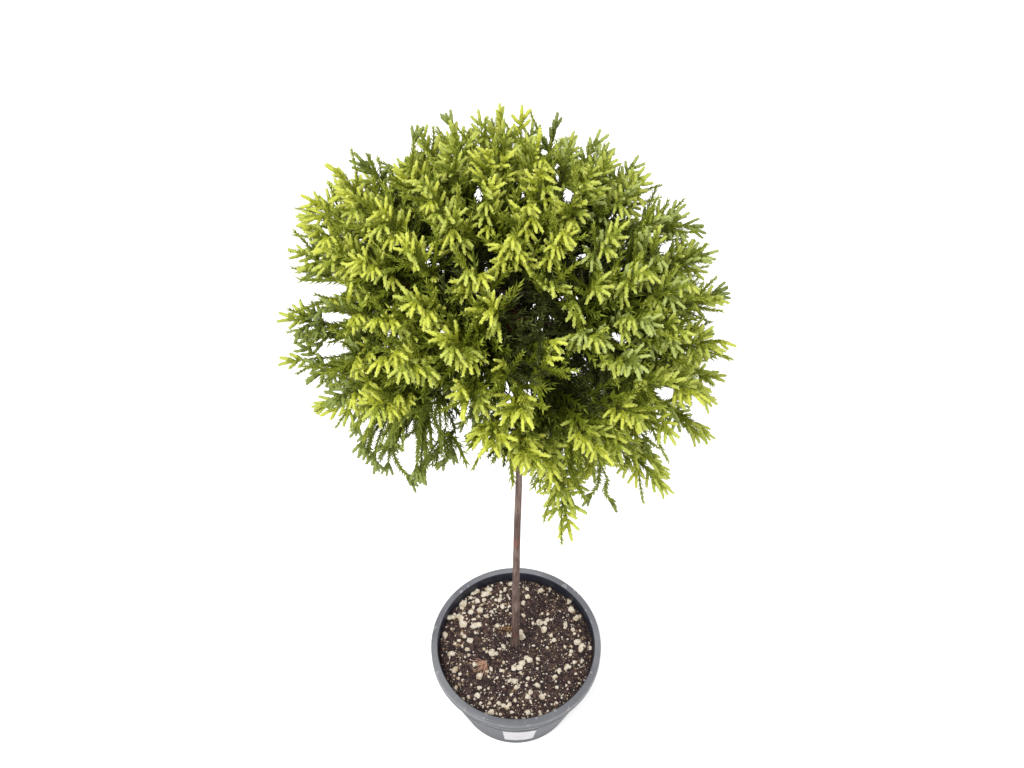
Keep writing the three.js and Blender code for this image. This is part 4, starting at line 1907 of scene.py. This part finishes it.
@dataclass
class BarkedWood:
    """The trunk and the boughs with the relief of their bark."""

    rule: CrownRule
    ring_step: float = 2.6
    ridge: float = 0.075
    fine: float = 0.03
    scars: int = 9
    scar_length: float = 4.5
    scar_turn: float = 0.55

    def limb(self, places: Array, radii: Array, around: int, bumps: list[Vector]) -> tuple[Array, list]:
        """A limb's closed mesh, its surface raised and sunk like stringy bark.

        Args:
            places: The limb's axis, in millimetres.
            radii: Its radius at each place.
            around: How many vertices each ring has.
            bumps: Where old side shoots were cut off: angle, share of the way and size.

        Returns:
            Its vertices in metres and its faces.
        """
        heading = np.gradient(places, axis=0)
        heading = heading / norm(heading, axis=1)[:, None]
        side = unit(np.cross(heading[0], np.array([0.3, 1.0, 0.2])))
        run = np.concatenate([[0], np.cumsum(norm(np.diff(places, axis=0), axis=1))])
        vertices = []
        for i, place in enumerate(places):
            side = unit(side - heading[i] * (side @ heading[i]))
            face = np.cross(heading[i], side)
            for angle in circle(around):
                x, y = cos(angle), sin(angle)
                ridge = noise.noise(Vector((x * 2.4, y * 2.4, run[i] * 0.014)))
                fine = noise.noise(Vector((x * 6.0, y * 6.0, run[i] * 0.06 + 9.0)))
                lump = 0.0
                for bump in bumps:
                    along = (run[i] / run[-1] - bump.y) * run[-1] / self.scar_length
                    aside = remainder(angle - bump.x, 2 * pi) / self.scar_turn
                    lump += bump.z * exp(-(along**2) - aside**2)
                radius = radii[i] * (1 + self.ridge * ridge + self.fine * fine) + lump
                vertices.append(place + (side * x + face * y) * radius)
        vertices += [places[0], places[-1]]
        return np.array(vertices) * MM, capped_faces(len(places), around)

    def trunk(self) -> Object:
        """The trunk, from its flat foot on the soil to its tip in the crown.

        Returns:
            The trunk's object.
        """
        random = np.random.default_rng(SEED + 1)
        foot, tip = self.rule.trunk.foot[2], self.rule.trunk.tip[2]
        shares = np.linspace(0, 1, int((tip - foot) / self.ring_step))
        places = np.array([self.rule.axis.point(t) for t in shares])
        places[0, 2] = foot
        radii = np.array([self.rule.trunk.radius(t) for t in shares])
        radii[-3:] *= np.array([0.9, 0.75, 0.5])
        bumps = [
            Vector((random.uniform(0, 6.28), random.uniform(0.06, 0.74), random.uniform(0.3, 0.75)))
            for _ in range(self.scars)
        ]
        vertices, faces = self.limb(places, radii, 36, bumps)
        vertices[:, 2] = np.maximum(vertices[:, 2], foot * MM)
        return mesh_object("trunk_bark", vertices, faces)

    def boughs(self) -> Object:
        """Every bough, its root sunk in the trunk and flared into it.

        Returns:
            The boughs as one object.
        """
        made = []
        shares = np.linspace(0, 1, 28)
        radii = self.rule.bough.root_radius
        radii = radii + (self.rule.bough.tip_radius - radii) * shares + 1.1 * np.exp(-shares * 9)
        for lobe in (lobe for lobe in LOBES if lobe.bough):
            curve = RoundCurve([self.rule.axis.at_height(lobe.leaves - 4), *lobe.bough])
            places = np.array([curve.point(t) for t in shares])
            made.append(mesh_object(f"bough_bark_{lobe.name}", *self.limb(places, radii, 12, [])))
        return joined(made, "boughs_bark")

    def build(self) -> None:
        """Makes both pieces and gives them to the frame."""
        bark = BARK_FINISH.build()
        boughs = [f"bough_{lobe.name}" for lobe in LOBES if lobe.bough]
        for piece, replaced in ((self.trunk(), ["trunk"]), (self.boughs(), boughs)):
            piece.data.materials.append(bark)
            smooth(piece, 60)
            report(piece, "bark", *replaced)


# Pot and soil


@dataclass
class NurseryPot:
    """The round pot: a tapering wall, a band under a broad rounded lip, and drain holes."""

    wall: float = 3.0
    floor: float = 4.0
    band_depth: float = 21.0
    band_step: float = 2.6
    bead_drop: float = 26.0
    lip_width: float = 11.5
    lip_depth: float = 9.0
    lip_radius: float = 3.0
    foot_radius: float = 100.0
    drain_count: int = 4
    drain_radius: float = 6.0
    drain_ring: float = 68.0
    recess: float = 1.6

    def __post_init__(self) -> None:
        """Takes the pot's height and width from the frame."""
        low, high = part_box("pot")
        self.height = high.z / MM
        self.rim_radius = (high.x - low.x) / 2 / MM
        self.body_radius = self.rim_radius - self.band_step
        self.mouth_radius = self.rim_radius - self.lip_width
        self.band_foot = self.height - self.band_depth

    def wall_radius(self, z: float) -> float:
        """The wall's outer radius at a height below the band."""
        return self.foot_radius + (self.body_radius - self.foot_radius) * z / self.band_foot

    def shelf(self) -> float:
        """The height at which the wall's inside is as wide as the opening."""
        widening = self.mouth_radius + self.wall - self.foot_radius
        return widening / (self.body_radius - self.foot_radius) * self.band_foot

    def finish_faces(self, mesh: Mesh) -> None:
        """Gives the faces inside the opening a dark finish as painted shade, and those of the lip a
        lighter finish as painted light with scuff patches.

        Args:
            mesh: The pot's mesh.
        """
        reach = (self.mouth_radius + 1.2) * MM
        for face in mesh.polygons:
            place = face.center
            # Painted shade: faces inside the opening take the dark inside finish.
            if hypot(place.x, place.y) < reach and place.z > self.floor * MM:
                face.material_index = 1
            # Painted light: the lip's faces take the lighter lip finish, with scuff patches.
            elif place.z > (self.height - self.lip_depth) * MM:
                face.material_index = 2

    def profile(self) -> list[Pair]:
        """The pot's outline from the middle of its underside round to the middle of its floor.

        Returns:
            Radius and height of each point, in millimetres.
        """
        wall, foot, rim, lip = self.wall_radius, self.foot_radius, self.rim_radius, self.lip_radius
        top = self.band_foot
        bead = top - self.bead_drop
        return [
            (0.0, self.recess),
            (foot - 12, self.recess),
            (foot - 10, 0.0),
            *arc((foot - 3.0, 3.0), 3.0, -90, 0),
            (wall(bead - 2), bead - 2),
            *arc((wall(bead) - 0.2, bead), 0.9, -70, 70),
            (wall(bead + 2), bead + 2),
            (wall(top - 2), top - 2),
            (wall(top) + 0.3, top - 0.4),
            *arc((rim - 1.2, top + 1.2), 1.2, -80, 0),
            (rim - 0.5, top + 7),
            *arc((rim - lip, self.height - lip), lip, 0, 90),
            *arc((self.mouth_radius + lip, self.height - lip), lip, 90, 180),
            (self.mouth_radius, self.height - self.lip_depth),
            (self.mouth_radius, self.shelf()),
            (wall(self.floor + 4) - self.wall, self.floor + 4),
            (wall(self.floor) - self.wall - 4, self.floor),
            (0.0, self.floor),
        ]

    def build(self) -> None:
        """Turns the pot, drills its drain holes and gives it to the frame."""
        pot = turned("pot_shell", self.profile(), 144)
        outline = [(0.0, -5.0), (self.drain_radius, -5.0), (self.drain_radius, 12.0), (0.0, 12.0)]
        drills = []
        for a in circle(self.drain_count) + pi / self.drain_count:
            drills.append(turned("drill", outline, 24))
            place = Vector((cos(a), sin(a), 0)) * self.drain_ring * MM
            drills[-1].data.transform(Matrix.Translation(place))
        cut = pot.modifiers.new("drains", "BOOLEAN")
        cut.object = joined(drills, "drills")
        cut.solver = "EXACT"
        pot.data = evaluated_mesh(pot)
        bpy.data.objects.remove(cut.object)
        pot.modifiers.clear()
        pot.data.materials.clear()
        for finish in (POT_FINISH, POT_INSIDE_SHADE_FINISH, POT_LIP_LIGHT_AND_SCUFFS_FINISH):
            pot.data.materials.append(finish.build())
        self.finish_faces(pot.data)
        smooth(pot, 38)
        report(pot, "pot", "pot")


@dataclass
class BlankLabel:
    """The pale label on the front of the pot, left blank."""

    pot: NurseryPot
    width: float = 51.5
    foot: float = 42.0
    top: float = 128.0
    turn: float = 2.6
    thickness: float = 0.35

    def build(self) -> None:
        """Bends a thin plate round the wall, one upper corner lifting, and gives it to the frame."""
        columns, rows = 25, 13
        half = self.width / 2 / self.pot.wall_radius((self.foot + self.top) / 2)
        angles = radians(self.turn) + np.linspace(-half, half, columns)
        layers = []
        for lift in (0.12, 0.12 + self.thickness):
            for z in np.linspace(self.foot, self.top, rows):
                corner = (z - self.foot) / (self.top - self.foot)
                radius = np.full(columns, self.pot.wall_radius(z) + lift)
                radius[-4:] += np.array([0.05, 0.2, 0.5, 1.0]) * max(0.0, corner - 0.75) * 3.0
                row = (radius * np.sin(angles), -radius * np.cos(angles), np.full(columns, z))
                layers.append(np.stack(row, -1))
        front = rows * columns
        plate = grid_faces(rows, columns, closed=False)
        faces = [face[::-1] for face in plate] + [tuple(i + front for i in face) for face in plate]
        grid = np.arange(front).reshape(rows, columns)
        rim = [*grid[:, 0], *grid[-1, 1:], *grid[-2::-1, -1], *grid[0, -2:0:-1]]
        faces += [(a, a + front, b + front, b) for a, b in zip(rim, rim[1:] + rim[:1])]
        label = mesh_object("blank_label", np.concatenate(layers) * MM, faces)
        label.data.materials.append(LABEL_FINISH.build())
        smooth(label, 40)
        report(label, "pot")


@dataclass(frozen=True)
class Strewing:
    """One kind of stone that lies strewn on the soil, with its sizes in metres."""

    name: str
    finish: Finish
    apart: float
    density: float
    smallest: float
    largest: float
    detail: int
    seed: int
    roughness: float = 0.5

    def sizes(self) -> Feeds:
        """What the stone tree takes for such stones, by the names of its inputs."""
        return {name.title(): value for name, value in list(vars(self).items())[2:]}


STONE_SHAPES = 5
STREWN = (
    Strewing("pumice_large", PUMICE_FINISH, 0.0058, 24000.0, 0.0018, 0.0058, 3, SEED),
    Strewing("pumice_small", PUMICE_FINISH, 0.0022, 105000.0, 0.0005, 0.0018, 1, SEED + 20),
    Strewing("soil_crumbs", CRUMB_FINISH, 0.002, 260000.0, 0.0009, 0.0036, 1, SEED + 40),
)


def stone_tree() -> GeometryTree:
    """A tree that strews rough stones over a surface, denser where it says.

    Returns:
        The tree.
    """
    tree = GeometryTree("strewn_stones", STREWN[0].sizes(), ["Stone"])
    size = tree.entry
    feeds = {
        "Mesh": size["Geometry"],
        "Distance Min": size["Apart"],
        "Density Max": size["Density"],
        "Density Factor": tree.attribute("cover"),
        "Seed": size["Seed"],
    }
    strewn = tree.out("GeometryNodeDistributePointsOnFaces", feeds, distribute_method="POISSON")
    shapes = tree.node("GeometryNodeJoinGeometry")
    for i in range(STONE_SHAPES):
        ball = tree.out("GeometryNodeMeshIcoSphere", {"Radius": 1.0, "Subdivisions": size["Detail"]})
        feeds = {"W": 3.7 * i, "Scale": 1.3, "Detail": 2.0, "Roughness": 0.6}
        cloud = tree.out("ShaderNodeTexNoise", feeds, "Fac", noise_dimensions="4D")
        raised = tree.times(tree.maths("SUBTRACT", cloud, 0.5), 3.0, size["Roughness"])
        push = tree.scaled(tree.out("GeometryNodeInputNormal", {}), raised)
        rough = tree.out("GeometryNodeSetPosition", {"Geometry": ball, "Offset": push})
        tree.feed(shapes.inputs[0], tree.out("GeometryNodeGeometryToInstance", {0: rough}))
    spread = tree.maths("SUBTRACT", size["Largest"], size["Smallest"])
    longest = tree.maths("POWER", tree.chance(0.0, 1.0, 1), 2.0)
    longest = tree.maths("MULTIPLY_ADD", longest, spread, size["Smallest"])
    shape = (tree.chance(0.75, 1.25, 2), tree.chance(0.75, 1.25, 3), tree.chance(0.6, 1.0, 4))
    turn = (tree.chance(-0.7, 0.7, 5), tree.chance(-0.7, 0.7, 6), tree.chance(0.0, 6.28, 7))
    picked = {4: 0, 5: STONE_SHAPES - 1, "Seed": tree.maths("ADD", size["Seed"], 8)}
    feeds = {
        "Points": strewn,
        "Instance": shapes.outputs[0],
        "Pick Instance": True,
        "Instance Index": tree.out("FunctionNodeRandomValue", picked, 2, data_type="INT"),
        "Rotation": tree.out("FunctionNodeEulerToRotation", {0: tree.vector(*turn)}),
        "Scale": tree.scaled(tree.vector(*shape), longest),
    }
    stones = tree.out("GeometryNodeInstanceOnPoints", feeds)
    stones = tree.out("GeometryNodeRealizeInstances", {0: stones})
    flat = tree.out("GeometryNodeSetShadeSmooth", {0: stones, "Shade Smooth": False})
    tree.end(Geometry=tree.dressed(flat, "Stone"))
    return tree


@dataclass
class PottingSoil:
    """The potting mix: a crumbly top with pumice, dead needles and fibres on it."""

    pot: NurseryPot
    rule: CrownRule
    crown: float = 6.0
    gap: float = 0.45
    rings: int = 96
    around: int = 180
    fibres: int = 80
    dead_sprig: Pair = (-48.0, -26.0)
    dead_needles: int = 30
    brown_bits: Pair = (-16.0, 34.0)
    brown_count: int = 9

    def __post_init__(self) -> None:
        """Takes the soil's top and width from the frame."""
        low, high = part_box("soil")
        self.top = high.z / MM
        self.foot = low.z / MM
        self.edge = self.pot.mouth_radius - self.gap
        self.random = np.random.default_rng(SEED + 2)

    def height(self, x: float, y: float) -> float:
        """The height of the soil's surface, in millimetres.

        Args:
            x: How far to the right the place is.
            y: How far to the back it is.

        Returns:
            The height there.
        """
        r = hypot(x, y) / self.edge
        dome = self.crown * (1 - max(0.0, (r - 0.62) / 0.38) ** 2)
        coarse = noise.noise(Vector((x * 0.035, y * 0.035, 3.1))) * 2.2
        lumps = noise.noise(Vector((x * 0.16, y * 0.16, 8.3))) * 1.5
        crumbs = noise.noise(Vector((x * 0.42, y * 0.42, 1.7))) * 0.8
        foot = self.rule.trunk.foot
        mound = 1.4 * exp(-((hypot(x - foot[0], y - foot[1]) / 16) ** 2))
        rise = self.top - self.crown + dome + (coarse + lumps + crumbs) * 0.8 + mound - 1.0
        return min(rise, self.top + 2.2)

    def surface(self) -> Object:
        """The soil as a closed body, its top uneven.

        Returns:
            The object, which carries how densely stones lie at each vertex.
        """
        turns = circle(self.around)
        foot_radius = self.pot.wall_radius(self.foot) - self.pot.wall - self.gap
        places = [(foot_radius * cos(a), foot_radius * sin(a), self.foot) for a in turns]
        cover = [0.0] * self.around
        for i in range(self.rings, 0, -1):
            r = self.edge * (i / self.rings) ** 0.85
            for a in turns:
                x, y = r * cos(a), r * sin(a)
                places.append((x, y, self.height(x, y)))
                cover.append(self.cover(x, y))
        places += [(0.0, 0.0, self.foot), (0.0, 0.0, self.height(0, 0))]
        faces = capped_faces(self.rings + 1, self.around)
        soil = mesh_object("potting_soil", np.array(places) * MM, faces)
        carry(soil, "cover", np.array([*cover, 0.0, 0.3]))
        return soil

    def cover(self, x: float, y: float) -> float:
        """How densely stones lie: more at the back left and round the edge.

        Args:
            x: How far to the right the place is.
            y: How far to the back it is.

        Returns:
            A share from 0 to 1.
        """
        r = hypot(x, y) / self.edge
        foot = self.rule.trunk.foot
        if r > 0.975 or hypot(x - foot[0], y - foot[1]) < 11:
            return 0.0
        back_left = exp(-(((x + 62) / 45) ** 2) - ((y - 72) / 42) ** 2)
        front = exp(-(((x + 5) / 60) ** 2) - ((y + 78) / 34) ** 2)
        rim = max(0.0, r - 0.6)
        patch = 0.5 + 0.5 * noise.noise(Vector((x * 0.05, y * 0.05, 5.5)))
        return min(1.0, 0.1 + 0.75 * back_left + 0.35 * front + rim * 0.6 + 0.3 * patch)

    def laid(self, centre: Pair, length: float, turn: float, lift: float) -> Array:
        """A short curved line that lies on the soil.

        Args:
            centre: Where its middle is.
            length: How long it is.
            turn: Which way it points, in radians.
            lift: How high it lies above the soil.

        Returns:
            Its places in millimetres.
        """
        sweep = self.random.uniform(-0.8, 0.8)
        places = []
        for t in np.linspace(-0.5, 0.5, 6):
            a = turn + sweep * t
            x = centre[0] + length * t * cos(a)
            y = centre[1] + length * t * sin(a)
            places.append((x, y, self.height(x, y) + lift + 1.2 * (0.25 - t * t)))
        return np.array(places)

    def dry_fibre(self) -> Array:
        """A dry fibre that lies anywhere on the soil.

        Returns:
            Its line.
        """
        r = self.edge * 0.94 * sqrt(self.random.uniform(0.01, 1))
        a = self.random.uniform(0, 2 * pi)
        centre = (r * cos(a), r * sin(a))
        return self.laid(centre, self.random.uniform(5, 13), self.random.uniform(0, 6.28), 0.4)

    def dead_needle(self) -> Array:
        """A long needle of the dead sprig that fans out to the left and the front.

        Returns:
            Its line.
        """
        turn = radians(self.random.normal(208, 38))
        length = self.random.uniform(12, 25)
        off = length * self.random.uniform(0.5, 0.75)
        centre = np.array(self.dead_sprig) + off * np.array([cos(turn), sin(turn)])
        return self.laid(centre, length, turn, self.random.uniform(0.8, 3.6))

    def brown_curl(self) -> Array:
        """A stout brown curl near the trunk.

        Returns:
            Its line.
        """
        centre = np.array(self.brown_bits) + self.random.uniform(-1, 1, 2) * np.array([9, 7])
        turn = self.random.uniform(0, pi)
        return self.laid(centre, self.random.uniform(7, 14), turn, self.random.uniform(1.0, 2.2))

    def litter(self) -> None:
        """Lays dry fibres, dead needles and brown curls on the soil."""
        tree = wood_tree()
        for name, line, count, radius, finish in (
            ("dry_fibres", self.dry_fibre, self.fibres, 0.3, STRAW_FINISH),
            ("dead_needles", self.dead_needle, self.dead_needles, 0.36, DEAD_FINISH),
            ("brown_curls", self.brown_curl, self.brown_count, 0.95, CURL_FINISH),
        ):
            source = line_mesh([Strand(line(), radius * MM) for _ in range(count)])
            report(tree.grow(source, name, {"Sides": 4, "Wood": finish.build()}), "soil")

    def build(self) -> None:
        """Makes the soil and strews pumice, crumbs and litter over it."""
        soil = self.surface()
        stones = stone_tree()
        for kind in STREWN:
            values = {**kind.sizes(), "Stone": kind.finish.build()}
            copied = shown("copied_soil", soil.data.copy())
            report(stones.grow(copied, kind.name, values), "soil")
        soil.data.attributes.remove(soil.data.attributes["cover"])
        soil.data.materials.append(SOIL_FINISH.build())
        smooth(soil, 50)
        report(soil, "soil", "soil")
        self.litter()


# Studio


@dataclass(frozen=True)
class Studio:
    """A pale floor, soft light and the camera at the photograph's own angle."""

    outlook: Outlook = Outlook()
    lens: float = 49.22
    sensor: float = 36.0
    floor_side: float = 16.0

    def build(self) -> None:
        """Sets the stage."""
        bpy.context.scene.view_settings.view_transform = "Standard"
        self.camera()
        self.floor()
        self.lights()

    def camera(self) -> None:
        """Looks down at the plant as the photograph does."""
        data = bpy.data.cameras.new("camera")
        data.lens = self.lens
        data.sensor_width = self.sensor
        camera = shown("camera", data)
        camera.location = self.outlook.place
        camera.rotation_euler = (radians(self.outlook.tilt), 0, 0)
        bpy.context.scene.camera = camera

    def floor(self) -> None:
        """A plain pale floor, which glows a little."""
        half = self.floor_side / 2
        places = [(-half, -half, 0), (half, -half, 0), (half, half, 0), (-half, half, 0)]
        floor = mesh_object("floor", places, [(0, 1, 2, 3)])
        material = bpy.data.materials.new("floor")
        material.use_nodes = True
        surface = material.node_tree.nodes["Principled BSDF"].inputs
        surface["Base Color"].default_value = (0.9, 0.9, 0.9, 1)
        surface["Roughness"].default_value = 0.9
        surface["Emission Color"].default_value = (1, 1, 1, 1)
        surface["Emission Strength"].default_value = 0.4
        floor.data.materials.append(material)

    def lights(self) -> None:
        """An even pale sky, one broad soft lamp above the left front and a weaker one behind."""
        world = bpy.context.scene.world = bpy.data.worlds.new("sky")
        world.use_nodes = True
        sky = world.node_tree.nodes["Background"].inputs
        sky["Color"].default_value = (1, 1, 1, 1)
        sky["Strength"].default_value = 0.72
        for name, place, side, power in (
            ("key", (-1.2, -1.4, 3.4), 1.6, 84.0),
            ("fill", (1.8, 0.6, 2.6), 2.2, 20.0),
        ):
            data = bpy.data.lights.new(name, "AREA")
            data.shape = "DISK"
            data.size = side
            data.energy = power
            lamp = shown(name, data)
            lamp.location = place
            aim = Vector((0, 0, 0.9)) - Vector(place)
            lamp.rotation_euler = aim.to_track_quat("-Z", "Y").to_euler()


def main() -> None:
    """Loads the frame and dresses every part of the plant, logging the triangles of each piece."""
    logging.basicConfig(level=logging.INFO, format="%(message)s")
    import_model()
    mottle_group()
    relief_group()
    Studio().build()
    rule = CrownRule()
    pot = NurseryPot()
    pot.build()
    BlankLabel(pot).build()
    PottingSoil(pot, rule).build()
    BarkedWood(rule).build()
    Foliage(rule).build()


if __name__ == "__main__":
    main()
